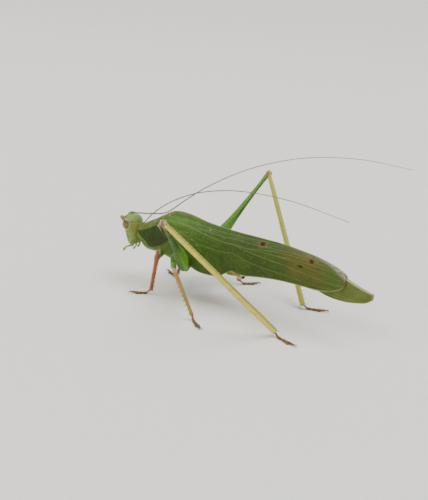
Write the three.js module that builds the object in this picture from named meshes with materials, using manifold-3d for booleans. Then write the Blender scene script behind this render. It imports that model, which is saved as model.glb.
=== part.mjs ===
// Leaf katydid (long-horned grasshopper), adult male at life size, standing on all six feet.
// Millimetres, +Z up. The head points to -X and the left side is -Y. The soles lie on Z = 0.
import * as THREE from "three";
import Module from "manifold-3d";
import { LoftGeometry } from "three/addons/geometries/LoftGeometry.js";
import { mergeVertices } from "three/addons/utils/BufferGeometryUtils.js";

const wasm = await Module();
wasm.setup();

// Driving dimensions.
const bodyShift = -4.295; // brings the middle of the whole box to X = 0
const gap = 0.06; // air between neighbouring solids
const shell = 0.5; // thickness of the wings and the pronotum shield
const pronotumPitch = 30; // degrees, front end down
const discFront = 1.75; // half widths of the flat top
const discBack = 2.4;
const pronotumBack = [-12.95, 0, 14.85]; // middle of the hind edge
const headCentre = [-19.6, 0, 11.1];
const headPitch = 5; // degrees, face tilted under
const eyeCentre = [-0.75, 1.72, 0.95];
const eyeRadii = [0.88, 0.75, 1.08];
const antennaRadius = 0.27;

const vec = (p) => new THREE.Vector3(...p);
const radians = THREE.MathUtils.degToRad;

// Solids.

// A closed geometry as a manifold solid.
function solidOf(geometry) {
  const bare = new THREE.BufferGeometry();
  bare.setAttribute("position", geometry.getAttribute("position"));
  bare.setIndex(geometry.index);
  const merged = mergeVertices(bare, 1e-4);
  const triVerts = new Uint32Array(merged.index.array);
  const vertProperties = merged.attributes.position.array;
  return new wasm.Manifold(new wasm.Mesh({ numProp: 3, vertProperties, triVerts }));
}

function geometryOf(solid) {
  const mesh = solid.getMesh();
  const geometry = new THREE.BufferGeometry();
  geometry.setAttribute("position", new THREE.BufferAttribute(mesh.vertProperties, 3));
  geometry.setIndex(new THREE.BufferAttribute(mesh.triVerts, 1));
  return geometry.toNonIndexed();
}

// An ellipse, or a boxier oval where power is under 1, around a centre.
function oval(centre, side, up, halfSide, halfUp, count, power = 1) {
  const points = [];
  for (let i = 0; i < count; i += 1) {
    const angle = (i / count) * 2 * Math.PI;
    const c = Math.cos(angle);
    const s = Math.sin(angle);
    const a = halfSide * Math.sign(c) * Math.abs(c) ** power;
    const b = halfUp * Math.sign(s) * Math.abs(s) ** power;
    points.push(centre.clone().addScaledVector(side, a).addScaledVector(up, b));
  }
  return points;
}

// Skins a row of closed rings. Each ring is turned to run the way the loft needs.
function loft(rings) {
  const sumOf = (points) => points.reduce((sum, p) => sum.add(p), new THREE.Vector3());
  const middleOf = (points) => sumOf(points).divideScalar(points.length);
  const ring = rings[Math.floor(rings.length / 2)];
  const origin = middleOf(ring);
  const arms = ring.map((p) => p.clone().sub(origin));
  const normal = new THREE.Vector3();
  arms.forEach((arm, i) => normal.add(arm.clone().cross(arms[(i + 1) % arms.length])));
  const run = middleOf(rings[rings.length - 1]).sub(middleOf(rings[0]));
  const turned = normal.dot(run) < 0 ? rings.map((points) => [...points].reverse()) : rings;
  return solidOf(new LoftGeometry(turned, { capStart: true, capEnd: true }));
}

// Values between the rows of a table, smooth in the first column's direction.
function rowAt(table, fraction) {
  const place = fraction * (table.length - 1);
  const index = Math.min(Math.floor(place), table.length - 2);
  const t = place - index;
  const pick = (i) => table[THREE.MathUtils.clamp(i, 0, table.length - 1)];
  return table[0].map((_, column) => {
    const [a, b, c, d] = [-1, 0, 1, 2].map((step) => pick(index + step)[column]);
    const slopeB = (c - a) / 2;
    const slopeC = (d - b) / 2;
    const ease = t * t * (3 - 2 * t);
    const bends = t * (1 - t) * ((1 - t) * slopeB - t * slopeC);
    return THREE.MathUtils.lerp(b, c, ease) + bends;
  });
}

function ellipsoid(centre, radii, grow = 0, columns = 11, rows = 7) {
  const geometry = new THREE.SphereGeometry(1, columns, rows);
  geometry.scale(...radii.map((r) => r + grow));
  geometry.translate(...centre);
  return solidOf(geometry);
}

// A body length along X: rows of [x, centre z, half height, half width].
function trunk(table, rowsPerStep, grow = 0, sides = 12, power = 0.92) {
  const rings = [];
  const count = (table.length - 1) * rowsPerStep;
  for (let i = 0; i <= count; i += 1) {
    const [x, z, high, wide] = rowAt(table, i / count);
    const centre = vec([x, 0, z]);
    rings.push(oval(centre, vec([0, 1, 0]), vec([0, 0, 1]), wide + grow, high + grow, sides, power));
  }
  return loft(rings);
}

// A limb length between two joints: rows of [fraction, half depth, half width]. It ends in a round knob.
function limb(spec, grow = 0) {
  const from = vec(spec.from);
  const to = vec(spec.to);
  const along = to.clone().sub(from).normalize();
  const side = along.clone().cross(vec(spec.up ?? [0, 0, 1])).normalize();
  const up = side.clone().cross(along);
  const rings = spec.rows.map(([fraction, deep, wide, rise = 0]) => {
    const centre = from.clone().lerp(to, fraction).addScaledVector(up, rise);
    return oval(centre, side, up, wide + grow, deep + grow, spec.sides);
  });
  const [, deep, wide] = spec.rows[spec.rows.length - 1];
  [30, 60, 80].forEach((degrees) => {
    const shrink = Math.cos(radians(degrees));
    const centre = to.clone().addScaledVector(along, Math.sin(radians(degrees)) * (deep + grow));
    rings.push(oval(centre, side, up, (wide + grow) * shrink, (deep + grow) * shrink, spec.sides));
  });
  return loft(rings);
}

// A round rod along part of a curve.
function rod(curve, start, end, radiusAt, rows, sides, grow = 0) {
  const rings = [];
  for (let i = 0; i <= rows; i += 1) {
    const t = THREE.MathUtils.lerp(start, end, i / rows);
    const tangent = curve.getTangentAt(t);
    const side = tangent.clone().cross(vec([0, 1, 0])).normalize();
    const up = side.clone().cross(tangent);
    const radius = radiusAt(t) + grow;
    rings.push(oval(curve.getPointAt(t), side, up, radius, radius, sides));
  }
  return loft(rings);
}

// Colours and finishes.
const paint = (color, roughness = 0.5) => {
  return new THREE.MeshStandardMaterial({ color, roughness, metalness: 0 });
};
const leafGreen = paint(0x5c7a34);
const wingGreen = paint(0x62803a, 0.45);
const bodyGreen = paint(0x6f9a3c);
const faceGreen = paint(0x7f9c4c);
const shieldGreen = paint(0x4e6a2a, 0.4);
const paleYellow = paint(0xb5ab62);
const reddish = paint(0xa86a50);
const tan = paint(0x9a7a3e);
const eyeAmber = paint(0x8a7436, 0.2);
const hornBrown = paint(0x6a5638, 0.6);
const mouthBrown = paint(0x6b5a34, 0.35);
const cercusOrange = paint(0xa6783c, 0.4);

// A named mesh whose own origin is the joint or centre that carries it.
function piece(name, solid, origin, material, parentOrigin = [0, 0, 0]) {
  const geometry = geometryOf(solid);
  geometry.translate(...origin.map((v) => -v));
  geometry.computeVertexNormals();
  const mesh = new THREE.Mesh(geometry, material);
  mesh.name = name;
  mesh.position.set(...origin.map((v, i) => v - parentOrigin[i]));
  return mesh;
}

const katydid = new THREE.Group();
katydid.position.x = bodyShift;

// Head. Built in its own frame, face to -X, then tilted.

const headRows = [
  // z, centre x, half depth, half width
  [2.72, 0.05, 0.55, 0.6],
  [2.45, 0.0, 1.15, 1.25],
  [1.9, -0.05, 1.6, 1.75],
  [1.0, -0.1, 1.85, 1.98],
  [0.0, -0.1, 1.88, 2.05],
  [-1.0, -0.05, 1.75, 1.98],
  [-1.9, 0.05, 1.5, 1.78],
  [-2.6, 0.18, 1.2, 1.5],
  [-3.0, 0.28, 0.85, 1.15],
];

function skull(grow = 0) {
  const rings = headRows.map(([z, x, deep, wide], i) => {
    const end = i === 0 ? grow : i === headRows.length - 1 ? -grow : 0;
    const centre = vec([x, 0, z + end]);
    return oval(centre, vec([1, 0, 0]), vec([0, 1, 0]), deep + grow, wide + grow, 14, 0.95);
  });
  const crest = ellipsoid([-1.45, 0, 2.05], [0.85, 0.38, 0.5], grow, 8, 5);
  const sockets = [-1, 1].map((s) => ellipsoid([-1.42, s * 0.82, 1.42], [0.62, 0.62, 0.62], grow, 8, 6));
  return loft(rings).add(crest).add(sockets[0]).add(sockets[1]);
}

const headTurn = new THREE.Matrix4().makeRotationY(-radians(headPitch)).setPosition(...headCentre);
const inHead = (p) => vec(p).applyMatrix4(headTurn).toArray();
const moved = (solid, matrix) => solid.transform(matrix.elements);

const eyePlace = (side) => [eyeCentre[0], side * eyeCentre[1], eyeCentre[2]];
const eye = (side, grow = 0) => ellipsoid(eyePlace(side), eyeRadii, grow);
const labrumRows = [
  [-2.05, -1.18, 0.3, 0.72],
  [-2.6, -1.1, 0.3, 0.85],
  [-3.2, -0.92, 0.28, 0.82],
  [-3.62, -0.78, 0.26, 0.5],
];
const labrum = (grow = 0) => {
  const rings = labrumRows.map(([z, x, deep, wide]) => {
    return oval(vec([x - 0.12, 0, z]), vec([1, 0, 0]), vec([0, 1, 0]), deep + grow, wide + grow, 12, 0.8);
  });
  return loft(rings);
};
const mandibleRows = [
  [-1.7, 0.35, 0.5, 0.42, 1.5],
  [-2.4, 0.05, 0.62, 0.5, 1.35],
  [-3.1, -0.2, 0.55, 0.45, 1.0],
  [-3.7, -0.35, 0.4, 0.32, 0.58],
];
const mandible = (side) => {
  const rings = mandibleRows.map(([z, x, deep, wide, y]) => {
    return oval(vec([x, side * y, z]), vec([1, 0, 0]), vec([0, 1, 0]), deep, wide, 10, 0.9);
  });
  return loft(rings);
};
const pathOf = (side, points) => {
  return new THREE.CatmullRomCurve3(points.map(([x, y, z]) => vec([x, side * y, z])));
};
const maxillaryPalp = (side) => {
  const path = pathOf(side, [
    [0.75, 1.3, -2.3],
    [0.2, 1.75, -3.3],
    [-0.9, 1.75, -3.75],
    [-1.9, 1.45, -4.6],
  ]);
  return rod(path, 0, 1, (t) => 0.25 + 0.06 * Math.max(0, t - 0.8) * 5, 6, 6);
};
const labialPalp = (side) => {
  const path = pathOf(side, [
    [1.0, 0.45, -2.4],
    [0.7, 0.7, -3.5],
    [0.1, 0.75, -4.3],
  ]);
  return rod(path, 0, 1, () => 0.25, 4, 6);
};

let head = skull();
[-1, 1].forEach((s) => (head = head.subtract(eye(s, gap))));
const mouth = labrum();
const headAndMouth = skull(gap).add(labrum(gap));

const headGroup = new THREE.Group();
headGroup.position.set(...headCentre);
headGroup.rotation.y = -radians(headPitch);
katydid.add(headGroup);
const headPart = (name, solid, origin, material) => headGroup.add(piece(name, solid, origin, material));
headPart("head", head, [0, 0, 0], faceGreen);
headPart("labrum", mouth.subtract(skull(gap)), [-1, 0, -2.5], faceGreen);
const sides = [
  ["left", -1],
  ["right", 1],
];
sides.forEach(([word, s]) => {
  const jaw = mandible(s).subtract(headAndMouth);
  const cheek = headAndMouth.add(mandible(s).scale([1.05, 1.02, 1.02]));
  headPart("eye_" + word, eye(s), eyePlace(s), eyeAmber);
  headPart("mandible_" + word, jaw, [0, s, -2.6], mouthBrown);
  headPart("maxillary_palp_" + word, maxillaryPalp(s).subtract(cheek), [0.4, s * 1.6, -3], faceGreen);
  headPart("labial_palp_" + word, labialPalp(s).subtract(headAndMouth), [0.8, s * 0.6, -3], faceGreen);
});

// Antennae, swept up, out and back over the body.

const antennaStart = inHead([-1.5, -0.85, 1.45]);
const antennaPoints = [
  antennaStart,
  inHead([-1.95, -1.5, 2.35]),
  [-20.2, -2.75, 13.3],
  [-17.8, -3.6, 13.5],
  [-14.9, -4.4, 14.1],
  [-11.8, -6.3, 16.8],
  [-8.7, -7.9, 19.4],
  [-5.8, -9.3, 21.4],
  [-3.0, -10.5, 23.1],
  [2.0, -12.4, 25.5],
  [10, -15, 27.9],
  [20, -17.5, 28.9],
  [30, -19.5, 28.2],
];
const antennaCurve = (side) => pathOf(-side, antennaPoints);
const antennaTaper = (t) => antennaRadius * (1 - 0.08 * t);
const antennaCuts = [0.035, 0.3, 0.64, 1];
const antennaBase = (curve, grow = 0) => {
  const bulge = (t) => (t < 0.021 ? 0.46 : 0.34);
  return rod(curve, 0.002, antennaCuts[0], bulge, 6, 8, grow);
};
sides.forEach(([word, s]) => {
  const curve = antennaCurve(s);
  const socketed = antennaBase(curve).subtract(moved(skull(gap).add(eye(s, gap)), headTurn));
  const place = [antennaStart[0], s * 0.85, antennaStart[2]];
  katydid.add(piece("antenna_base_" + word, socketed, place, faceGreen));
  for (let i = 0; i < 3; i += 1) {
    const start = antennaCuts[i] + 0.0012;
    const length = rod(curve, start, antennaCuts[i + 1], antennaTaper, 8, 6);
    katydid.add(piece(`antenna_${i + 1}_${word}`, length, curve.getPointAt(start).toArray(), hornBrown));
  }
});

// Pronotum shield and the prothorax under it, in a frame at the shield's hind edge.

const shieldTurn = new THREE.Matrix4().makeRotationY(-radians(pronotumPitch));
shieldTurn.setPosition(...pronotumBack);
// fraction from the hind edge, x of the row's top, lean of its foot, lobe depth
const lobeRows = [
  [0, 0.0, 0.95, 3.8],
  [0.06, -0.35, 0.85, 4.7],
  [0.2, -1.1, 0.55, 5.0],
  [0.45, -2.4, 0.2, 5.05],
  [0.7, -3.8, 0.05, 4.9],
  [0.88, -4.8, 0.45, 4.3],
  [1, -5.5, 0.9, 3.1],
];

// Half of one arch from the crown down the side at a given offset inward.
function archPoint(row, t, offset) {
  const [fraction, x, lean, depth] = row;
  const disc = THREE.MathUtils.lerp(discBack, discFront, fraction);
  const curve = new THREE.CubicBezierCurve(
    new THREE.Vector2(0, 0.12),
    new THREE.Vector2(disc * 1.02, 0.12),
    new THREE.Vector2(disc + 0.85, -depth * 0.38),
    new THREE.Vector2(disc + 0.3, -depth),
  );
  const p = curve.getPoint(t);
  const tangent = curve.getTangent(t);
  return [x + lean * t * t, p.x + offset * tangent.y, p.y - offset * tangent.x];
}

function shieldSolid() {
  const half = [0, 0.16, 0.33, 0.48, 0.64, 0.82, 1];
  const rings = lobeRows.map((row) => {
    const arch = (offset) => {
      const right = half.map((t) => archPoint(row, t, offset));
      const left = right.slice(1).map(([x, y, z]) => [x, -y, z]);
      return [...left.reverse(), ...right];
    };
    return [...arch(0), ...arch(shell).reverse()].map(vec);
  });
  return loft(rings);
}

// The whole arch filled in to the belly: offset inward, or outward where it is negative.
function filledArch(offset, belly, ahead, behind = 0) {
  const rows = lobeRows.map((row) => [...row]);
  const half = [0, 0.33, 0.64, 1];
  const rings = rows.map((row) => {
    const right = half.map((t) => archPoint(row, t, offset));
    const low = [row[1] + row[2] * 1.3, discFront * 0.75, -belly - offset * -1];
    const left = [...right, low].slice(1).map(([x, y, z]) => [x, -y, z]);
    return [...left.reverse(), ...right, low].map(vec);
  });
  const last = rings[rings.length - 1];
  if (ahead) rings.push(last.map((p) => vec([p.x - ahead, p.y * 0.72, p.z * 0.8 - 0.35])));
  if (behind) rings.unshift(rings[0].map((p) => vec([p.x + behind, p.y, p.z])));
  return loft(rings);
}

const shieldGroup = new THREE.Group();
shieldGroup.position.set(...pronotumBack);
shieldGroup.rotation.y = -radians(pronotumPitch);
katydid.add(shieldGroup);
shieldGroup.add(piece("pronotum", shieldSolid(), [0, 0, 0], shieldGreen));
const headHole = moved(moved(skull(gap), headTurn), shieldTurn.clone().invert());
const prothorax = filledArch(shell + gap + 0.02, 6.3, 1.3).subtract(headHole);
shieldGroup.add(piece("prothorax", prothorax, [-2.5, 0, -3], bodyGreen));
const prothoraxBlock = moved(filledArch(-gap, 6.3 + gap, 0, 0.25), shieldTurn);

// Thorax and abdomen.

const thoraxRows = [
  [-13.6, 10.9, 3.1, 2.1],
  [-11.5, 10.7, 3.7, 2.45],
  [-9.0, 10.4, 4.0, 2.55],
  [-6.0, 10.2, 3.9, 2.55],
  [-3.4, 10.2, 3.5, 2.35],
];
const abdomenRows = [
  [-3.3, 10.2, 3.35, 2.2],
  [-2.2, 10.2, 3.5, 2.45],
  [0.0, 9.95, 3.3, 2.45],
  [2.0, 9.5, 2.85, 2.2],
  [3.7, 9.1, 2.2, 1.8],
  [4.9, 8.9, 1.45, 1.25],
  [5.3, 8.85, 0.7, 0.7],
];
const thorax = trunk(thoraxRows, 2).subtract(prothoraxBlock);
const thoraxBlock = trunk(thoraxRows, 2, gap);
const abdomen = trunk(abdomenRows, 2).subtract(thoraxBlock);
katydid.add(piece("thorax", thorax, [-8, 0, 10.3], bodyGreen));
katydid.add(piece("abdomen", abdomen, [0, 0, 10], bodyGreen));
const abdomenBlock = trunk(abdomenRows, 2, gap);

const plateRows = [
  [2.6, 6.95, 0.45, 1.15],
  [4.0, 7.0, 0.42, 1.05],
  [5.1, 7.2, 0.38, 0.8],
  [5.9, 7.55, 0.3, 0.5],
];
const plate = trunk(plateRows, 1, 0, 12, 0.8).subtract(abdomenBlock);
katydid.add(piece("subgenital_plate", plate, [4.4, 0, 7.1], leafGreen));
const plateBlock = trunk(plateRows, 1, gap, 12, 0.8);
sides.forEach(([word, s]) => {
  const path = new THREE.CatmullRomCurve3([
    vec([3.4, s * 1.1, 8.05]),
    vec([4.3, s * 1.5, 7.8]),
    vec([5.1, s * 1.75, 7.45]),
    vec([5.8, s * 1.65, 7.1]),
    vec([6.25, s * 1.25, 7.0]),
  ]);
  const cercus = rod(path, 0, 1, (t) => 0.45 - 0.13 * t, 8, 8).subtract(abdomenBlock).subtract(plateBlock);
  katydid.add(piece("cercus_" + word, cercus, [4.1, s * 1.2, 7.9], cercusOrange));
});

// Wings. The left one is built and the right one mirrors it.

const tegmenRows = [
  // x, top, bottom, top half width, bulge, hem, parting from the midline
  [-12.5, 15.25, 14.3, 2.0, 2.3, 2.35, 0.06],
  [-10.6, 16.15, 12.6, 2.35, 2.9, 2.8, 0.06],
  [-8.6, 16.4, 10.9, 2.3, 3.1, 3.05, 0.06],
  [-6.2, 16.2, 9.1, 2.1, 3.2, 3.2, 0.06],
  [-3.4, 15.9, 6.9, 1.9, 3.25, 3.25, 0.06],
  [0.4, 15.5, 6.5, 1.6, 3.1, 3.05, 0.06],
  [4.4, 15.3, 7.4, 1.4, 2.8, 2.8, 0.06],
  [8.6, 15.2, 8.2, 1.3, 2.4, 2.45, 0.06],
  [12.8, 15.05, 8.6, 1.25, 2.0, 2.1, 0.06],
  [17.0, 14.6, 8.6, 1.22, 1.7, 1.75, 0.1],
  [20.6, 13.85, 8.4, 1.2, 1.45, 1.45, 0.6],
  [23.2, 12.9, 8.75, 1.22, 1.35, 1.3, 0.7],
  [24.7, 12.0, 9.5, 1.22, 1.3, 1.25, 0.72],
  [25.3, 11.2, 10.3, 1.22, 1.28, 1.25, 0.74],
];

function wingSection(row) {
  const [x, top, bottom, half, bulge, hem, part] = row;
  const curve = new THREE.CubicBezierCurve(
    new THREE.Vector2(-part, top),
    new THREE.Vector2(-half * 1.25, top + 0.02),
    new THREE.Vector2(-bulge * 1.12, THREE.MathUtils.lerp(top, bottom, 0.5)),
    new THREE.Vector2(-hem, bottom),
  );
  const steps = [0, 0.14, 0.28, 0.44, 0.62, 0.81, 1];
  const outer = steps.map((t) => curve.getPoint(t));
  const inner = steps.map((t, i) => {
    const tangent = curve.getTangent(Math.max(t, 0.02));
    const inward = Math.min(outer[i].x - tangent.y * shell, -0.06);
    return new THREE.Vector2(inward, outer[i].y + tangent.x * shell);
  });
  return [...outer, ...inner.reverse()].map((p) => vec([x, p.x, p.y]));
}

const bladeRows = [
  // x, top, bottom, half thickness
  [-3.0, 14.9, 14.1, 0.25],
  [0.0, 14.8, 13.6, 0.26],
  [3.5, 14.65, 12.7, 0.26],
  [6.5, 14.55, 11.3, 0.26],
  [9.0, 14.5, 9.6, 0.26],
  [14.0, 14.3, 9.2, 0.26],
  [18.5, 13.75, 8.6, 0.26],
  [22.5, 12.75, 7.4, 0.26],
  [25.5, 11.6, 7.15, 0.25],
  [27.6, 10.75, 7.4, 0.25],
  [29.6, 10.1, 7.9, 0.25],
  [30.8, 9.75, 8.8, 0.25],
];

function blade() {
  const rings = [];
  for (let i = 0; i <= 12; i += 1) {
    const [x, top, bottom, half] = rowAt(bladeRows, i / 12);
    const centre = vec([x, -0.08 - half, (top + bottom) / 2]);
    rings.push(oval(centre, vec([0, 1, 0]), vec([0, 0, 1]), half, (top - bottom) / 2, 8, 0.75));
  }
  return loft(rings);
}

const wingRings = [];
for (let i = 0; i <= 15; i += 1) wingRings.push(wingSection(rowAt(tegmenRows, i / 15)));
const hindwing = blade().subtract(abdomenBlock).subtract(thoraxBlock);
const tegmen = loft(wingRings).subtract(prothoraxBlock).subtract(thoraxBlock).subtract(abdomenBlock);
sides.forEach(([word, s]) => {
  const half = new THREE.Group();
  half.scale.y = -s;
  half.add(piece("tegmen_" + word, tegmen, [-10, -1.5, 14], wingGreen));
  half.add(piece("hindwing_" + word, hindwing, [-3, -0.3, 14.5], leafGreen));
  katydid.add(half);
});

// Legs. Each joint's place is given for the left side.

const legs = {
  front: {
    root: [-11.9, -1.2, 8.6],
    hip: [-12.0, -2.5, 7.3],
    knee: [-8.8, -7.9, 10.7],
    ankle: [-11.9, -5.0, 1.15],
    toe: [-15.3, -6.9],
    coxa: [
      [0, 0.9, 0.8],
      [0.6, 0.85, 0.75],
      [1, 0.58, 0.58],
    ],
    femur: [
      [0, 0.4, 0.4],
      [0.12, 0.55, 0.48],
      [0.4, 0.6, 0.5],
      [0.8, 0.48, 0.42],
      [0.94, 0.5, 0.45],
      [1, 0.52, 0.48],
    ],
    tibia: [
      [0, 0.36, 0.34],
      [0.1, 0.45, 0.5],
      [0.22, 0.46, 0.5],
      [0.36, 0.42, 0.42],
      [0.8, 0.4, 0.4],
      [1, 0.42, 0.4],
    ],
    color: reddish,
    thighColor: reddish,
  },
  middle: {
    root: [-8.7, -1.4, 8.2],
    hip: [-8.3, -2.9, 6.7],
    knee: [-3.5, -10.5, 9.15],
    ankle: [0.3, -9.9, 1.15],
    toe: [3.6, -12.5],
    coxa: [
      [0, 0.95, 0.85],
      [0.6, 0.9, 0.8],
      [1, 0.6, 0.6],
    ],
    femur: [
      [0, 0.4, 0.4],
      [0.1, 0.55, 0.48],
      [0.4, 0.62, 0.5],
      [0.8, 0.46, 0.42],
      [0.94, 0.5, 0.45],
      [1, 0.55, 0.5],
    ],
    tibia: [
      [0, 0.4, 0.38],
      [0.12, 0.44, 0.44],
      [0.3, 0.45, 0.45],
      [0.7, 0.42, 0.42],
      [1, 0.44, 0.42],
    ],
    color: tan,
    thighColor: bodyGreen,
  },
  hind: {
    root: [-5.6, -1.4, 8.0],
    hip: [-5.4, -3.2, 6.7],
    knee: [0.1, -20.8, 21.9],
    ankle: [15.7, -6.9, 1.15],
    toe: [20.3, -8.4],
    coxa: [
      [0, 1.05, 0.95],
      [0.6, 1.0, 0.9],
      [1, 0.68, 0.66],
    ],
    femur: [
      [0, 0.45, 0.45],
      [0.03, 0.75, 0.6],
      [0.07, 1.1, 0.8],
      [0.13, 1.45, 1.0],
      [0.2, 1.58, 1.08],
      [0.3, 1.42, 1.0],
      [0.42, 1.05, 0.8],
      [0.55, 0.74, 0.62],
      [0.7, 0.55, 0.5],
      [0.86, 0.46, 0.44],
      [0.95, 0.56, 0.52],
      [1, 0.72, 0.62],
    ],
    tibia: [
      [0, 0.42, 0.4],
      [0.04, 0.42, 0.42],
      [0.1, 0.48, 0.46],
      [0.3, 0.52, 0.5],
      [0.8, 0.55, 0.52],
      [0.97, 0.56, 0.54],
      [1, 0.56, 0.54],
    ],
    color: paleYellow,
    thighColor: bodyGreen,
  },
};

// fraction along the foot, half width, half height
const tarsusRows = [
  [0, 0.3, 0.3],
  [0.22, 0.42, 0.32],
  [0.32, 0.33, 0.27],
  [0.42, 0.46, 0.32],
  [0.49, 0.34, 0.27],
  [0.62, 0.56, 0.32],
  [0.73, 0.3, 0.27],
  [1, 0.28, 0.26],
];

// The foot slopes down from the ankle and then lies flat, its sole trimmed to the floor.
function foot(leg) {
  const ankle = vec(leg.ankle);
  const toe = vec([...leg.toe, 0]);
  const along = vec([toe.x - ankle.x, toe.y - ankle.y, 0]).normalize();
  const side = vec([-along.y, along.x, 0]);
  const rings = tarsusRows.map(([fraction, wide, high]) => {
    const slope = 1 - THREE.MathUtils.smoothstep(fraction, 0, 0.26);
    const z = high - 0.05 + slope * (ankle.z - high - 0.1);
    const centre = ankle.clone().lerp(toe, fraction).setZ(z);
    const points = oval(centre, side, vec([0, 0, 1]), wide, high, 6, 0.8);
    points.forEach((p) => (p.z = Math.max(p.z, 0)));
    return points;
  });
  return loft(rings);
}

const bodyBlock = thoraxBlock.add(moved(filledArch(shell, 6.3 + gap, 0), shieldTurn));
const neighbours = bodyBlock.add(prothoraxBlock);

function addLeg(name, leg, word, s) {
  const coxaSpec = { from: leg.root, to: leg.hip, rows: leg.coxa, sides: 8 };
  const femurSpec = { from: leg.hip, to: leg.knee, rows: leg.femur, sides: name === "hind" ? 9 : 8 };
  const tibiaSpec = { from: leg.knee, to: leg.ankle, rows: leg.tibia, sides: 7 };
  const coxa = limb(coxaSpec).subtract(neighbours);
  const femur = limb(femurSpec).subtract(limb(coxaSpec, gap));
  const tibia = limb(tibiaSpec).subtract(limb(femurSpec, gap));
  const tarsus = foot(leg).subtract(limb(tibiaSpec, gap));
  const mirrored = new THREE.Group();
  mirrored.scale.y = -s;
  const hip = new THREE.Group();
  hip.position.set(...leg.hip);
  mirrored.add(hip);
  const end = (part) => `${part}_${name}_${word}`;
  hip.add(piece(end("coxa"), coxa, leg.root, name === "front" ? bodyGreen : leafGreen, leg.hip));
  hip.add(piece(end("femur"), femur, leg.hip, leg.thighColor, leg.hip));
  hip.add(piece(end("tibia"), tibia, leg.knee, leg.color, leg.hip));
  hip.add(piece(end("tarsus"), tarsus, leg.ankle, name === "hind" ? tan : leg.color, leg.hip));
  katydid.add(mirrored);
}

sides.forEach(([word, s]) => Object.entries(legs).forEach(([name, leg]) => addLeg(name, leg, word, s)));

export default katydid;
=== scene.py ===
import math
import random

import bpy
import numpy as np
from mathutils import Matrix, Vector
from mathutils.kdtree import KDTree


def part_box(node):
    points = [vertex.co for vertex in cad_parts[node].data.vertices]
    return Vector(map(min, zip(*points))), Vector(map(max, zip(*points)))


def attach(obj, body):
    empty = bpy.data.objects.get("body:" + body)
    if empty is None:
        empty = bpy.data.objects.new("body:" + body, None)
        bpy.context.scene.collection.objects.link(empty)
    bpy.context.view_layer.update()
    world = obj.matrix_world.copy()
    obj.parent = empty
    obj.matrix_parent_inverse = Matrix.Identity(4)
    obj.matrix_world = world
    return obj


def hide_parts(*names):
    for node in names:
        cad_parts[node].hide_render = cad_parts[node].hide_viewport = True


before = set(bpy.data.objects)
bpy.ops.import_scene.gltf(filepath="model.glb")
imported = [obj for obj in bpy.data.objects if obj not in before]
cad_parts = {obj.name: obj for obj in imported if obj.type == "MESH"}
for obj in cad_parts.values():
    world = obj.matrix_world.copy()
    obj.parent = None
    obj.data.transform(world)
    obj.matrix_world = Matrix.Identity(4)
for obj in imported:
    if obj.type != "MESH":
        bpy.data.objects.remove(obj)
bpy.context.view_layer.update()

mm = 0.001
wingRoot = -12.5  # x of the fore wing's root in the animal's own frame
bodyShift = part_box("tegmen_left")[0].x / mm - wingRoot  # where that frame stands in the row's frame
sideNames = {"left": -1, "right": 1}


def rowsAt(table, fractions):
    # values between the rows of a table, smooth from row to row
    rows = np.array(table, float)
    last = len(rows) - 1
    place = np.clip(np.asarray(fractions, float), 0, 1) * last
    index = np.minimum(place.astype(int), last - 1)
    t = (place - index)[:, None]
    a, b, c, d = (rows[np.clip(index + step, 0, last)] for step in (-1, 0, 1, 2))
    ease = t * t * (3 - 2 * t)
    return b + (c - b) * ease + t * (1 - t) * ((1 - t) * (c - a) / 2 - t * (d - b) / 2)


def smoothStep(low, high, value):
    t = np.clip((np.asarray(value, float) - low) / (high - low), 0, 1)
    return t * t * (3 - 2 * t)


def hump(low, riseEnd, fallStart, high, value):
    return smoothStep(low, riseEnd, value) * (1 - smoothStep(fallStart, high, value))


def bell(distance, width):
    # 1 in the middle, fading to nothing about twice the width away
    return np.exp(-((distance / width) ** 2))


def lineAt(distance, width):
    # 1 on a line, falling to 0 at the width given
    return 1 - smoothStep(0.0, width, distance)


def unit(v):
    v = np.asarray(v, float)
    return v / np.maximum(np.linalg.norm(v, axis=-1, keepdims=True), 1e-9)


def ovalTurn(sides, power=1.0):
    # cosines and sines once round; a power below 1 makes the oval squarer
    turn = np.linspace(0, 2 * math.pi, sides, endpoint=False)
    c, s = np.cos(turn), np.sin(turn)
    return np.sign(c) * np.abs(c) ** power, np.sign(s) * np.abs(s) ** power


def bezier(share, values):
    # a cubic curve at the shares given, from its four control values
    rest = 1 - share
    weights = (rest**3, 3 * rest**2 * share, 3 * rest * share**2, share**3)
    return sum(w * v for w, v in zip(weights, values))


def runLengths(grid, axis):
    # distance covered along the rows or the columns of a grid of points
    steps = np.linalg.norm(np.diff(grid, axis=axis), axis=2)
    return np.insert(np.cumsum(steps, axis), 0, 0, axis)


def curvePoints(points, count, start=0.0, end=1.0):
    # a smooth curve through the points, sampled at even steps of its length
    pts = np.array(points, float)
    pts = np.vstack([2 * pts[0] - pts[1], pts, 2 * pts[-1] - pts[-2]])
    t = np.linspace(0, 1, 40, endpoint=False)[:, None]
    dense = []
    for p0, p1, p2, p3 in zip(pts, pts[1:], pts[2:], pts[3:]):
        d0, d1, d2 = (math.sqrt(max(np.linalg.norm(b - a), 1e-6)) for a, b in ((p0, p1), (p1, p2), (p2, p3)))
        m1 = ((p1 - p0) / d0 - (p2 - p0) / (d0 + d1) + (p2 - p1) / d1) * d1
        m2 = ((p2 - p1) / d1 - (p3 - p1) / (d1 + d2) + (p3 - p2) / d2) * d1
        ease = t * t * (3 - 2 * t)
        dense.append(p1 + (p2 - p1) * ease + t * (1 - t) * ((1 - t) * m1 - t * m2))
    dense = np.vstack(dense + [pts[-2]])
    steps = np.linalg.norm(np.diff(dense, axis=0), axis=1)
    length = np.concatenate([[0], np.cumsum(steps)])
    wanted = np.linspace(start, end, count) * length[-1]
    return np.stack([np.interp(wanted, length, dense[:, k]) for k in range(dense.shape[1])], -1)


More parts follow.
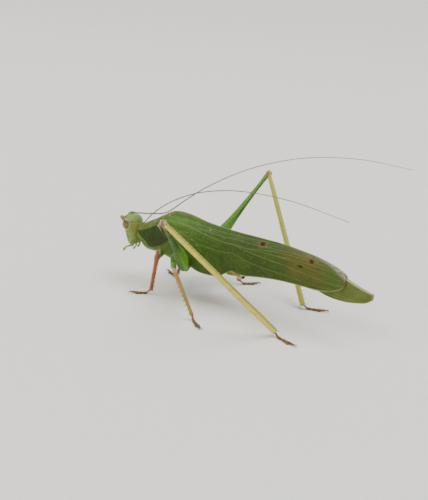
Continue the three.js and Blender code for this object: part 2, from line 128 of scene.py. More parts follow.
def turned(points, degrees, origin):
    # turns about Y, front end down, and moves to the origin given
    c, s = math.cos(math.radians(degrees)), math.sin(math.radians(degrees))
    p = np.asarray(points, float)
    turn = np.stack([p[..., 0] * c - p[..., 2] * s, p[..., 1], p[..., 0] * s + p[..., 2] * c], -1)
    return turn + np.array(origin, float)


# A part is a dictionary of points, faces and marks, one value per point that a material can read.


def gridFaces(rows, columns, closed):
    i = np.arange(rows - 1)[:, None] * columns
    j = np.arange(columns if closed else columns - 1)[None, :]
    k = (j + 1) % columns
    return np.stack([i + j, i + k, i + columns + k, i + columns + j], -1).reshape(-1, 4).tolist()


def ringsPart(rings, **marks):
    # closed rings in a row, with both ends capped round a middle point
    rings = np.asarray(rings, float)
    rows, columns = rings.shape[:2]
    faces = gridFaces(rows, columns, True)
    first, last = rows * columns, rows * columns + 1
    base = (rows - 1) * columns
    for j in range(columns):
        k = (j + 1) % columns
        faces.append([k, j, first])
        faces.append([base + j, base + k, last])
    points = np.vstack([rings.reshape(-1, 3), rings[0].mean(0), rings[-1].mean(0)])
    full = {}
    for name, values in marks.items():
        values = np.broadcast_to(np.asarray(values, float), (rows, columns))
        full[name] = np.concatenate([values.ravel(), [values[0].mean(), values[-1].mean()]])
    return {"points": points, "faces": faces, "marks": full}


def joined(parts):
    names = sorted({name for part in parts for name in part["marks"]})
    points, faces, start = [], [], 0
    marks = {name: [] for name in names}
    for part in parts:
        count = len(part["points"])
        points.append(part["points"])
        faces += [[i + start for i in face] for face in part["faces"]]
        for name in names:
            marks[name].append(part["marks"].get(name, np.zeros(count)))
        start += count
    return {
        "points": np.vstack(points),
        "faces": faces,
        "marks": {name: np.concatenate(values) for name, values in marks.items()},
    }


def mirrored(part):
    faces = [face[::-1] for face in part["faces"]]
    return {"points": part["points"] * [1, -1, 1], "faces": faces, "marks": part["marks"]}


def sided(part, side):
    # parts are made for the left side
    return part if side < 0 else mirrored(part)


def carried(points, lean=(0, 1, 0)):
    # side and up directions carried along a path without twist
    points = np.asarray(points, float)
    tangents = unit(np.gradient(points, axis=0))
    side = unit(np.cross(tangents[0], lean))
    sides = []
    for tangent in tangents:
        side = unit(side - tangent * np.dot(side, tangent))
        sides.append(side)
    sides = np.array(sides)
    return tangents, sides, np.cross(sides, tangents)


def ovalsAlong(centre, side, up, wide, high, turn):
    # an oval round each point of a line
    across, over = (
        np.broadcast_to(way, centre.shape)[:, None] * (v[None, :, None] * half[:, None, None])
        for way, v, half in zip((side, up), turn, (wide, high))
    )
    return centre[:, None] + across + over


domeAngles = [25, 50, 75]


def tubePart(points, wide, high=None, sides=12, dome=(True, True), lean=(0, 1, 0), **marks):
    # a round or oval tube along a path, its ends domed
    points = np.asarray(points, float)
    wide = np.broadcast_to(np.asarray(wide, float), len(points)).copy()
    high = wide.copy() if high is None else np.broadcast_to(np.asarray(high, float), len(points)).copy()
    tangents, side, up = carried(points, lean)
    along = np.linspace(0, 1, len(points))
    for end, fore in ((0, -1), (-1, 1)):
        if not dome[end]:
            continue
        angles = np.radians(domeAngles[::fore])
        reach = min(wide[end], high[end])
        caps = [points[end] + tangents[end] * fore * reach * math.sin(a) for a in angles]
        whole = (points, wide, high, side, up, along)
        ends = (caps, wide[end] * np.cos(angles), high[end] * np.cos(angles), [side[end]] * 3, [up[end]] * 3,
                [along[end]] * 3)
        pairs = zip(ends, whole) if end == 0 else zip(whole, ends)
        points, wide, high, side, up, along = (np.concatenate(pair) for pair in pairs)
    rings = ovalsAlong(points, side, up, wide, high, ovalTurn(sides))
    marks.setdefault("along", along[:, None])
    return ringsPart(rings[:, ::-1], **marks)


def ellipsoidPart(centre, radii, rows=24, columns=32, axes=None, **marks):
    lat = np.linspace(-math.pi / 2, math.pi / 2, rows + 2)[1:-1]
    lon = np.linspace(0, 2 * math.pi, columns, endpoint=False)
    x = np.cos(lat)[:, None] * np.cos(lon)[None]
    y = np.cos(lat)[:, None] * np.sin(lon)[None]
    z = np.broadcast_to(np.sin(lat)[:, None], x.shape)
    rings = np.stack([x, y, z], -1) * np.array(radii, float)
    if axes is not None:
        rings = rings @ np.array(axes, float)
    return ringsPart(rings + np.array(centre, float), **marks)


def spinePart(base, direction, length, radius, bend=(0, 0, 0), sides=6, rows=5):
    # a thorn on a broad foot, curved towards bend, its mark running to 1 at the point
    f = np.linspace(0, 1, rows)
    path = np.array(base) + unit(direction) * (f * length)[:, None] + np.array(bend) * (f**2)[:, None]
    radii = radius * (1 - f) ** 0.8 + 0.008
    return tubePart(path, radii, sides=sides, dome=(False, False), lean=(0.31, 0.52, 0.79), tip=f[:, None])


def sheetPart(outer, thickness, rim=0.15, **marks):
    # a thin sheet with a rounded edge: its outer face is a grid of points, its under face is half as fine
    outer = np.asarray(outer, float)
    rows, columns = outer.shape[:2]
    normal = unit(np.cross(np.gradient(outer, axis=0), np.gradient(outer, axis=1)))
    across, down = runLengths(outer, 1), runLengths(outer, 0)
    edge = np.minimum.reduce([across, across[:, -1:] - across, down, down[-1:] - down])
    bow = 0.25 + 0.75 * np.sqrt(np.clip(1 - (1 - np.clip(edge / rim, 0, 1)) ** 2, 0, 1))
    half = np.broadcast_to(np.asarray(thickness, float), (rows, columns)) / 2
    middle = outer - normal * half[..., None]
    top = middle + normal * (half * bow)[..., None]
    low = (middle - normal * (half * bow)[..., None])[::2, ::2]
    count = rows * columns
    faces = [face[::-1] for face in gridFaces(rows, columns, False)]
    faces += [[i + count for i in face] for face in gridFaces(*low.shape[:2], False)]
    upper, under = borderOf(rows, columns), borderOf(*low.shape[:2]) + count
    for k in range(len(under)):
        a, b, c = (int(upper[(2 * k + step) % len(upper)]) for step in (0, 1, 2))
        faces.append([a, b, c, int(under[(k + 1) % len(under)]), int(under[k])])
    full = {}
    marks["edge"] = edge
    for name, values in marks.items():
        values = np.broadcast_to(np.asarray(values, float), (rows, columns))
        full[name] = np.concatenate([values.ravel(), values[::2, ::2].ravel()])
    return {"points": np.vstack([top.reshape(-1, 3), low.reshape(-1, 3)]), "faces": faces, "marks": full}


def borderOf(rows, columns):
    # the points round the border of a grid
    index = np.arange(rows * columns).reshape(rows, columns)
    return np.concatenate([index[0, :-1], index[:-1, -1], index[-1, :0:-1], index[:0:-1, 0]])


def meshOf(part, name, scale=1.0, shift=0.0):
    mesh = bpy.data.meshes.new(name)
    points = (part["points"] + [shift, 0, 0]) * scale
    mesh.from_pydata(points.tolist(), [], part["faces"])
    for mark, values in part["marks"].items():
        layer = mesh.attributes.new(mark, "FLOAT", "POINT")
        layer.data.foreach_set("value", values.astype(np.float32))
    return mesh


def fused(parts, voxel, soften):
    # one closed skin over parts that pass through each other
    piece = bpy.data.objects.new("fusing", meshOf(joined(parts), "fusing"))
    bpy.context.scene.collection.objects.link(piece)
    remesh = piece.modifiers.new("skin", "REMESH")
    remesh.mode = "VOXEL"
    remesh.voxel_size = voxel
    smooth = piece.modifiers.new("soften", "SMOOTH")
    smooth.factor = 0.5
    smooth.iterations = soften
    bpy.context.view_layer.update()
    evaluated = piece.evaluated_get(bpy.context.evaluated_depsgraph_get())
    mesh = bpy.data.meshes.new_from_object(evaluated)
    points = np.zeros(len(mesh.vertices) * 3, np.float32)
    normals = np.zeros(len(mesh.vertices) * 3, np.float32)
    mesh.vertices.foreach_get("co", points)
    mesh.vertices.foreach_get("normal", normals)
    faces = [list(face.vertices) for face in mesh.polygons]
    bpy.data.objects.remove(piece)
    bpy.data.meshes.remove(mesh)
    skin = {"points": points.reshape(-1, 3).astype(float), "faces": faces, "marks": {}}
    return skin, normals.reshape(-1, 3).astype(float)


def addPiece(name, part, material, nodes):
    mesh = meshOf(part, name, mm, bodyShift)
    mesh.shade_smooth()
    mesh.materials.append(material)
    piece = bpy.data.objects.new(name, mesh)
    bpy.context.scene.collection.objects.link(piece)
    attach(piece, "root")
    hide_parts(*nodes)


def addPairs(*pieces):
    # pieces for both sides, each drawn for the left one: name, part, material, slot, nodes
    for word, side in sideNames.items():
        for name, part, material, slot, nodes in pieces:
            replaced = [f"{node}_{word}" for node in nodes]
            addPiece(name + word.capitalize(), sided(part, side), material, replaced)


def linear(hexText):
    # an sRGB hex colour as linear light, with alpha
    values = [int(hexText[i : i + 2], 16) / 255 for i in (0, 2, 4)]
    return [v / 12.92 if v <= 0.04045 else ((v + 0.055) / 1.055) ** 2.4 for v in values] + [1.0]


# each node in use: its type, the output that is read and its fixed settings
nodeKinds = {
    "coords": ("ShaderNodeTexCoord", "Object", {}),
    "scaled": ("ShaderNodeMapping", "Vector", {}),
    "mark": ("ShaderNodeAttribute", "Fac", {}),
    "grain": ("ShaderNodeTexNoise", 0, {}),
    "cells": ("ShaderNodeTexVoronoi", "Distance", {}),
    "spread": ("ShaderNodeMapRange", 0, {"interpolation_type": "SMOOTHSTEP"}),
    "product": ("ShaderNodeMath", 0, {"operation": "MULTIPLY"}),
    "ramp": ("ShaderNodeValToRGB", "Color", {}),
    "mix": ("ShaderNodeMix", 2, {"data_type": "RGBA"}),
    "bump": ("ShaderNodeBump", "Normal", {}),
    "shader": ("ShaderNodeBsdfPrincipled", "BSDF", {}),
    "surface": ("ShaderNodeOutputMaterial", None, {}),
}


def addNode(material, kind, inputs, **settings):
    # adds a node with its settings, values and links, and returns the output that is read
    nodeType, output, fixed = nodeKinds[kind]
    node = material.node_tree.nodes.new(nodeType)
    for key, value in {**fixed, **settings}.items():
        setattr(node, key, value)
    for key, value in inputs.items():
        if isinstance(value, bpy.types.NodeSocket):
            material.node_tree.links.new(value, node.inputs[key])
        else:
            node.inputs[key].default_value = linear(value) if isinstance(value, str) else value
    return node if output is None else node.outputs[output]


def amountOf(material, source, spread=None):
    # how much of a layer shows at each place. The source is ("mark", its name), ("grain", size, detail,
    # roughness) or ("cells", size, randomness), sizes in mm, and may end in a stretch along x, y and z.
    # The spread gives where the source starts and ends, and the amounts there if they aren't 0 and 1.
    kind, value, *numbers = source
    if kind == "mark":
        amount = addNode(material, kind, {}, attribute_name=value)
    else:
        stretch = numbers.pop() if numbers and isinstance(numbers[-1], tuple) else (1, 1, 1)
        place = addNode(material, "coords", {})
        place = addNode(material, "scaled", {"Vector": place, "Scale": [s / mm for s in stretch]})
        inputs = {"Vector": place, "Scale": 1 / value}
        if kind == "grain":
            inputs["Detail"] = 3.0
        inputs.update(zip(("Detail", "Roughness") if kind == "grain" else ("Randomness",), numbers))
        amount = addNode(material, kind, inputs)
    if spread is None:
        return amount
    low, high, least, most = (*spread, 0.0, 1.0)[:4]
    inputs = {"Value": amount, "From Min": low, "From Max": high, "To Min": least, "To Max": most}
    return addNode(material, "spread", inputs)


def layered(material, colour, layers):
    # lays colours over a first one. A layer is a source and its spread, or two such pairs that multiply,
    # then its colour, which may be a first colour with layers of its own.
    for *sources, over in layers:
        amounts = [amountOf(material, *pair) for pair in zip(sources[::2], sources[1::2])]
        amount = amounts[0] if len(amounts) == 1 else addNode(material, "product", dict(enumerate(amounts)))
        if isinstance(over, tuple):
            over = layered(material, *over)
        colour = addNode(material, "mix", {0: amount, 6: colour, 7: over})
    return colour


def dyed(material, markName, dyes):
    # colours that follow one another along a mark
    colour = addNode(material, "ramp", {"Fac": amountOf(material, ("mark", markName))})
    stops = colour.node.color_ramp.elements
    while len(stops) < len(dyes):
        stops.new(0.5)
    for stop, (place, hexText) in zip(stops, dyes):
        stop.position = place
        stop.color = linear(hexText)
    return colour


def makeMaterial(name, look):
    # a look has a first colour, the layers over it, bumps as (source, spread, depth in mm), a roughness
    # as a number or as a source and its spread, and the shader's other values
    material = bpy.data.materials.new(name)
    material.use_nodes = True
    material.node_tree.nodes.clear()
    first, rough = look["first"], look["roughness"]
    if isinstance(first, tuple):
        first = dyed(material, *first)
    inputs = {"Base Color": layered(material, first, look["layers"]), **look["shader"]}
    inputs["Roughness"] = amountOf(material, *rough) if isinstance(rough, tuple) else rough
    normal = {}
    for source, spread, depth in look.get("bumps", []):
        relief = {"Height": amountOf(material, source, spread), "Distance": depth * mm, **normal}
        normal = {"Normal": addNode(material, "bump", relief)}
    shader = addNode(material, "shader", {**inputs, **normal})
    addNode(material, "surface", {"Surface": shader})
    return material


def cuticleLook(first, patch, stipple, stippling, roughness, patchSize=1.4, tip=None):
    # insect cuticle: waxed chitin over green or brown pigment, gently glossy, with a fine pebbled grain
    # whose pits are drawn coarser than life, here and in the other looks, so that they show
    layers = [
        (("grain", patchSize), (0.35, 0.65), patch),
        (("grain", 0.16, 2.0), (0.56, 0.66, 0.0, stippling), stipple),
    ]
    if tip:
        layers.append((("mark", "tip"), (0.15, 0.75), tip))
    return {
        "first": first,
        "layers": layers,
        "bumps": [(("cells", 0.09), None, 0.012)],
        "roughness": (("grain", 0.8), (0.3, 0.7, roughness - 0.06, roughness + 0.08)),
        "shader": {"IOR": 1.53, "Specular IOR Level": 0.25, "Subsurface Weight": 0.08,
                   "Subsurface Radius": (0.0006, 0.0009, 0.0003), "Subsurface Scale": 1.0},
    }


view = {
    "azimuth": 27,  # degrees round from a square left-side view towards the tail
    "height": 21,
    "roll": 4,
    "distance": 130,
    "target": (0.0, -2.0, 11.4),
    "lens": 49.26,
}


def addCamera():
    a, e, r = (math.radians(view[key]) for key in ("azimuth", "height", "roll"))
    back = Vector((math.sin(a) * math.cos(e), -math.cos(a) * math.cos(e), math.sin(e)))
    right = Vector((math.cos(a), math.sin(a), 0))
    up = back.cross(right)
    tiltedRight = right * math.cos(r) + up * math.sin(r)
    tiltedUp = up * math.cos(r) - right * math.sin(r)
    data = bpy.data.cameras.new("camera")
    data.lens = view["lens"]
    data.sensor_width = 36
    data.clip_start = 0.01
    data.clip_end = 20
    camera = bpy.data.objects.new("camera", data)
    turn = Matrix((tiltedRight, tiltedUp, back)).transposed().to_4x4()
    target = Vector(view["target"]) + Vector((bodyShift, 0, 0))
    camera.matrix_world = Matrix.Translation((target + back * view["distance"]) * mm) @ turn
    bpy.context.scene.collection.objects.link(camera)
    bpy.context.scene.camera = camera


studio = {
    "floorReach": 1.0,  # radius of the flat floor in metres, before it sweeps up
    "floorSweep": 2.4,  # radius of that sweep
    "floorSides": 72,
    # matt studio card: pale, with hardly any gloss
    "card": {
        "first": "e9e7e1",
        "layers": [(("grain", 0.5), (0.3, 0.7), "e5e3dd")],
        "roughness": 0.85,
        "shader": {"IOR": 1.45},
    },
    "worldColour": "e6eaee",
    "worldStrength": 0.24,
    # place and size in metres, power in watts, colour
    "lamps": {
        "keyLamp": ((-1.1, -1.6, 2.9), 2.4, 85.0, "fff8ee"),
        "topLamp": ((0.6, 0.45, 3.3), 2.7, 115.0, "f6f9ff"),
        "fillLamp": ((2.85, -1.95, 1.6), 1.8, 9.0, "f8f5ec"),
    },
}


def addStudio():
    scene = bpy.context.scene
    world = bpy.data.worlds.new("studio")
    world.use_nodes = True
    background = world.node_tree.nodes["Background"]
    background.inputs["Color"].default_value = linear(studio["worldColour"])
    background.inputs["Strength"].default_value = studio["worldStrength"]
    scene.world = world
    for name, (place, size, power, colour) in studio["lamps"].items():
        lamp = bpy.data.lights.new(name, "AREA")
        lamp.shape = "DISK"
        lamp.size = size
        lamp.energy = power
        lamp.color = linear(colour)[:3]
        holder = bpy.data.objects.new(name, lamp)
        holder.location = place
        holder.rotation_euler = (-Vector(place)).to_track_quat("-Z", "Y").to_euler()
        holder.visible_camera = False
        scene.collection.objects.link(holder)
    # a round floor whose rim sweeps up, so that no horizon shows from any side
    reach, sweep, sides = (studio["floor" + word] for word in ("Reach", "Sweep", "Sides"))
    rise = np.radians(np.linspace(0, 85, 18))
    radii = np.concatenate([[0.02, 0.2, 0.6], reach + sweep * np.sin(rise)])
    heights = np.concatenate([[0, 0, 0], sweep * (1 - np.cos(rise))])
    turn = np.stack(ovalTurn(sides), -1)
    points = [(0, 0, 0)] + [(r * c, r * s, z) for r, z in zip(radii, heights) for c, s in turn]
    faces = [[0, 1 + j, 1 + (j + 1) % sides] for j in range(sides)]
    faces += [[i + 1 for i in face[::-1]] for face in gridFaces(len(radii), sides, True)]
    mesh = bpy.data.meshes.new("floor")
    mesh.from_pydata(points, [], faces)
    mesh.shade_smooth()
    floor = bpy.data.objects.new("floor", mesh)
    scene.collection.objects.link(floor)
    mesh.materials.append(makeMaterial("studioCard", studio["card"]))


addCamera()
addStudio()
print("camera, floor and lamps are in place")


head = {
    "centre": (-19.6, 0.0, 11.1),
    "pitch": 5,
    # height, middle x, half depth, half width
    "rows": [
        [2.78, 0.05, 0.3, 0.35],
        [2.66, 0.04, 0.75, 0.85],
        [2.4, 0.0, 1.2, 1.3],
        [1.9, -0.05, 1.6, 1.75],
        [1.0, -0.1, 1.85, 1.98],
        [0.0, -0.1, 1.88, 2.05],
        [-1.0, -0.05, 1.75, 1.98],
        [-1.9, 0.05, 1.5, 1.78],
        [-2.6, 0.18, 1.2, 1.5],
        [-3.0, 0.28, 0.8, 1.1],
    ],
    # centre and half sizes of the lumps that are fused with it: in the middle, then on each side
    "crests": [((-1.3, 0, 1.95), (0.98, 0.36, 0.62)), ((-1.72, 0, 1.15), (0.32, 0.3, 0.5))],
    "lowerLip": ((1.0, 0, -2.35), (0.34, 0.72, 0.95)),
    "feelerSeat": ((-1.38, 0.82, 1.42), (0.6, 0.6, 0.6)),
    "cheek": ((0.05, 1.28, -1.15), (1.25, 0.78, 1.35)),
    "orbit": ((-0.75, 1.6, 0.95), (1.0, 0.46, 1.22)),
    "palpRoot": ((0.72, 0.95, -2.45), (0.42, 0.34, 0.85)),
    # the raised ring that a feeler stands in: centre, axis, radius, half thickness
    "feelerRing": ((-1.72, 1.05, 1.72), (-0.55, 0.6, 0.75), 0.42, 0.13),
    "eye": (-0.75, 1.72, 0.95),
    "eyeReach": (0.88, 0.75, 1.08),
    "ocellus": (-2.02, 0, 1.22),
    "voxel": 0.055,
    "softening": 6,
    "sutureDepth": 0.05,
    # fresh apple-green head cuticle, paler over the face, freckled and pored
    "look": {
        "first": "5f7a2c",
        "layers": [
            (("grain", 1.6), (0.35, 0.65), "728a3c"),
            (("mark", "face"), (0.0, 1.0, 0.0, 0.5), "939e54"),
            (("cells", 0.24), (0.2, 0.08, 0.0, 0.5), "40591f"),
            (("grain", 0.12), (0.48, 0.64, 0.0, 0.4), "93a45a"),
            (("grain", 0.45, 4.0), (0.52, 0.66, 0.0, 0.35), "4f6a24"),
            (("mark", "amber"), None, "86702e"),
            (("mark", "rim"), None, "b9b878"),
            (("mark", "suture"), None, "4d5a26"),
            (("mark", "ocellus"), None, "e2ddb0"),
        ],
        "bumps": [(("cells", 0.24), (0.0, 0.2), 0.02), (("cells", 0.07), None, 0.01)],
        "roughness": (("grain", 0.7), (0.3, 0.7, 0.34, 0.5)),
        "shader": {"IOR": 1.53, "Specular IOR Level": 0.28, "Subsurface Weight": 0.05,
                   "Subsurface Radius": (0.0006, 0.0009, 0.0003)},
    },
}


def inHead(points):
    return turned(points, head["pitch"], head["centre"])


def ovalRings(table, count, sides, power=1.0):
    # rings for rows of [z, middle x, half depth, half width, middle y]
    rows = rowsAt(table, np.linspace(0, 1, count))
    c, s = ovalTurn(sides, power)
    x = rows[:, 1, None] + rows[:, 2, None] * c[None]
    y = rows[:, 3, None] * s[None] + (rows[:, 4, None] if rows.shape[1] > 4 else 0)
    z = np.broadcast_to(rows[:, 0, None], x.shape)
    return np.stack([x, y, z], -1)


def socketRing(centre, axis, radius, thick):
    axis = unit(axis)
    side = unit(np.cross(axis, (0.2, 0.9, 0.1)))
    up = np.cross(axis, side)
    turn = np.linspace(0, 2 * math.pi, 33)
    path = np.array(centre) + radius * (np.cos(turn)[:, None] * side + np.sin(turn)[:, None] * up)
    return tubePart(path, thick, sides=10, dome=(False, False))


def addHead():
    parts = [ringsPart(ovalRings(head["rows"], 60, 72, 0.96)[::-1])]
    parts += [ellipsoidPart(*lump) for lump in head["crests"]]
    for s in sideNames.values():
        seat, cheek, orbit, palpRoot = (
            ellipsoidPart(np.array(head[key][0]) * [1, s, 1], head[key][1])
            for key in ("feelerSeat", "cheek", "orbit", "palpRoot")
        )
        centre, axis, radius, thick = head["feelerRing"]
        ring = socketRing(np.array(centre) * [1, s, 1], np.array(axis) * [1, s, 1], radius, thick)
        parts += [seat, ring, cheek, orbit, palpRoot]
    parts.append(ellipsoidPart(*head["lowerLip"]))
    skin, normals = fused(parts, head["voxel"], head["softening"])
    p = skin["points"]
    x, y, z = p.T
    front = smoothStep(-0.6, -1.0, x)
    mouthLine = np.abs(z + 1.62 + 0.10 * y**2)
    cheekLine = np.abs(np.abs(y) - (1.32 + 0.12 * (z + 1.6)))
    suture = front * lineAt(mouthLine, 0.11) * (np.abs(y) < 1.35)
    cheek = lineAt(cheekLine, 0.09) * hump(-2.9, -2.6, -0.7, -0.3, z) * smoothStep(0.2, -0.2, x)
    nape = lineAt(np.abs(x - 0.9), 0.08) * smoothStep(-1.5, 0.0, z)
    groove = lineAt(np.abs(y), 0.07) * hump(1.9, 2.1, 3.0, 3.2, z) * smoothStep(0.2, -0.6, x)
    lines = np.clip(suture + cheek + 0.6 * nape + groove, 0, 1)
    ocellus = 1 - smoothStep(0.08, 0.13, np.linalg.norm(p - head["ocellus"], axis=1))
    folded = np.stack([x, np.abs(y), z], -1)  # both sides laid over each other
    nearEye = np.linalg.norm((folded - head["eye"]) / head["eyeReach"], axis=1)
    rim = hump(0.95, 1.0, 1.06, 1.16, nearEye)
    skin["points"] = inHead(p - normals * (lines * head["sutureDepth"])[:, None])
    skin["marks"] = {
        "face": front * hump(-1.7, -1.2, 1.0, 1.8, z),
        "amber": 0.75 * smoothStep(0.4, 1.4, x) * hump(-1.5, -0.8, 0.6, 1.4, z + 0.2),
        "suture": lines * 0.7,
        "ocellus": ocellus,
        "rim": 0.8 * rim,
    }
    addPiece("headCapsule", skin, makeMaterial("headCuticle", head["look"]), ["head"])


# compound eye: clear glossy cornea over amber-olive facets, far finer in life than drawn here
eyeLook = {
    "first": "6e6230",
    "layers": [
        (("grain", 0.5, 2.0, (0.5, 1, 1.6)), (0.4, 0.6), "8c7a3a"),
        (("mark", "top"), (0.1, 0.9), "45351a"),
        (("cells", 0.055, 0.35), (0.25, 0.6, 0.0, 0.35), "33260f"),
    ],
    "bumps": [(("cells", 0.055, 0.35), None, -0.008)],
    "roughness": 0.2,
    "shader": {"IOR": 1.5, "Coat Weight": 0.4, "Coat Roughness": 0.12},
}


def addEyes():
    material = makeMaterial("eyeCornea", eyeLook)
    for word in sideNames:
        low, high = (np.array(corner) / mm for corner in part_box("eye_" + word))
        centre = (low + high) / 2 - [bodyShift, 0, 0]
        radii = (high - low) / 2
        ball = ellipsoidPart(centre, radii, 64, 96)
        ball["marks"]["top"] = (ball["points"][:, 2] - centre[2]) / radii[2]
        addPiece("eye" + word.capitalize(), ball, material, ["eye_" + word])


mouth = {
    # height, middle x, half depth, half width, and for the jaws the middle y
    "labrumRows": [
        [-1.62, -1.3, 0.12, 0.6],
        [-1.9, -1.37, 0.2, 0.86],
        [-2.25, -1.34, 0.24, 0.94],
        [-2.5, -1.27, 0.21, 0.86],
        [-2.62, -1.25, 0.245, 0.88],
        [-3.0, -1.13, 0.26, 0.88],
        [-3.4, -0.98, 0.24, 0.74],
        [-3.66, -0.86, 0.16, 0.4],
    ],
    "jawRows": [
        [-1.7, 0.35, 0.5, 0.42, 1.5],
        [-2.4, 0.05, 0.62, 0.5, 1.35],
        [-3.1, -0.2, 0.55, 0.45, 1.0],
        [-3.7, -0.35, 0.4, 0.32, 0.58],
    ],
    # points, joints as shares of the length, radius of a link, radius at the tip
    "longPalp": {
        "path": [(0.75, 1.3, -2.3), (0.2, 1.75, -3.3), (-0.9, 1.75, -3.75), (-1.9, 1.45, -4.6)],
        "joints": [0.0, 0.12, 0.25, 0.5, 0.72, 1.0],
        "radius": 0.19,
        "tip": 0.27,
    },
    "shortPalp": {
        "path": [(1.0, 0.45, -2.4), (0.7, 0.7, -3.5), (0.1, 0.75, -4.3)],
        "joints": [0.0, 0.3, 0.62, 1.0],
        "radius": 0.17,
        "tip": 0.22,
    },
    # jaws: green at the root, hardening to dark polished horn at the biting edge
    "jawLook": {
        "first": "76893e",
        "layers": [
            (("mark", "along"), (0.35, 0.75), "6b4a20"),
            (("mark", "along"), (0.75, 0.97), "22140a"),
            (("grain", 0.3), (0.5, 0.65, 0.0, 0.4), "4a3a1c"),
        ],
        "bumps": [(("cells", 0.08), None, 0.01)],
        "roughness": 0.3,
        "shader": {"IOR": 1.55},
    },
    # width of a link's foot and of its end, as shares of the palp's radius
    "linkFoot": 0.72,
    "linkEnd": 1.08,
    "palpLook": cuticleLook("71863a", "869a4c", "55682c", 0.4, 0.4),
    "lipLook": cuticleLook("7f9148", "8f9d56", "5f7034", 0.35, 0.4, 0.8, "a89c6a"),
}


def palpPart(spec):
    # short links, each narrow at its foot and swelling to its end
    parts = []
    joints = spec["joints"]
    rise = smoothStep(0, 0.85, np.linspace(0, 1, 14))
    foot, swell = spec["radius"] * mouth["linkFoot"], spec["radius"] * mouth["linkEnd"]
    for start, end in zip(joints, joints[1:]):
        path = curvePoints(spec["path"], len(rise), start, end)
        swell = spec["tip"] if end == joints[-1] else swell
        parts.append(tubePart(path, foot + (swell - foot) * rise, sides=14))
    whole = joined(parts)
    whole["points"] = inHead(whole["points"])
    return whole


def addMouth():
    green, lip, horn = (
        makeMaterial(name, mouth[look])
        for name, look in (("palpCuticle", "palpLook"), ("lipCuticle", "lipLook"), ("jawHorn", "jawLook"))
    )
    rings = ovalRings(mouth["labrumRows"], 60, 64, 0.85)[::-1]
    plate = ringsPart(rings, tip=smoothStep(-2.5, -3.7, rings[..., 2]))
    plate["points"] = inHead(plate["points"])
    addPiece("upperLip", plate, lip, ["labrum"])
    rings = ovalRings(mouth["jawRows"], 36, 32, 0.9)[::-1]
    jaw = ringsPart(rings, along=np.linspace(1, 0, 36)[:, None])
    jaw["points"] = inHead(jaw["points"])
    # the tables give the right side
    addPairs(
        ("jaw", mirrored(jaw), horn, "mouth_brown", ["mandible"]),
        ("longPalp", mirrored(palpPart(mouth["longPalp"])), green, "face_green", ["maxillary_palp"]),
        ("shortPalp", mirrored(palpPart(mouth["shortPalp"])), green, "face_green", ["labial_palp"]),
    )


feeler = {
    "foot": (-1.5, -0.85, 1.45),  # in the head's frame
    "second": (-1.95, -1.5, 2.35),
    "path": [
        (-20.2, -2.75, 13.3),
        (-17.8, -3.6, 13.5),
        (-14.9, -4.4, 14.1),
        (-11.8, -6.3, 16.8),
        (-8.7, -7.9, 19.4),
        (-5.8, -9.3, 21.4),
        (-3.0, -10.5, 23.1),
        (2.0, -12.4, 25.5),
        (10, -15, 27.9),
        (20, -17.5, 28.9),
        (30, -19.5, 28.2),
    ],
    "scapeEnd": 0.021,
    "pedicelEnd": 0.033,
    # radius of the two thick joints at its foot, and what their middle adds
    "scape": (0.33, 0.13),
    "pedicel": (0.24, 0.08),
    "rootRadius": 0.16,
    "tipRadius": 0.045,
    "rings": 150,
    # thread-like feeler: dull brown, darker at every joint
    "look": {
        "first": "5e4a2c",
        "layers": [
            (("grain", 2.5), (0.35, 0.65), "6f5a38"),
            (("mark", "along"), (0.0, 0.05, 1.0, 0.0), "66743a"),
            (("mark", "joint"), (0.2, 0.9, 0.0, 0.6), "35261a"),
        ],
        "bumps": [(("grain", 0.05), None, 0.01)],
        "roughness": 0.5,
        "shader": {"IOR": 1.53},
    },
}


def domed(values):
    # a tube's two domes repeat the first and the last value
    return np.concatenate([[values[0]] * 3, values, [values[-1]] * 3])[:, None]


def addFeelers():
    path = [inHead(feeler["foot"]), inHead(feeler["second"])] + [np.array(p) for p in feeler["path"]]
    swell = np.sin(math.pi * np.linspace(0, 1, 16))
    scape = curvePoints(path, 16, 0.0, feeler["scapeEnd"])
    radius, bulge = feeler["scape"]
    parts = [tubePart(scape, radius + bulge * swell**0.7, sides=24, along=0.0)]
    pedicel = curvePoints(path, 16, feeler["scapeEnd"] + 0.002, feeler["pedicelEnd"])
    radius, bulge = feeler["pedicel"]
    parts.append(tubePart(pedicel, radius + bulge * swell, sides=20, along=0.0))
    count = feeler["rings"]
    t = np.linspace(0, 1, count * 6 + 1)
    stem = curvePoints(path, len(t), feeler["pedicelEnd"], 1.0)
    turn = (t**0.8 * count) % 1.0
    joint = lineAt(np.minimum(turn, 1 - turn), 0.22)
    radii = feeler["rootRadius"] + (feeler["tipRadius"] - feeler["rootRadius"]) * t**0.6
    radii = radii * (1 - 0.1 * joint)
    parts.append(tubePart(stem, radii, sides=8, joint=domed(joint)))
    nodes = ["antenna_base", "antenna_1", "antenna_2", "antenna_3"]
    addPairs(("feeler", joined(parts), makeMaterial("feelerCuticle", feeler["look"]), "horn_brown", nodes))


addHead()
addEyes()
addMouth()
addFeelers()
print("head, eyes, mouth and feelers are made")


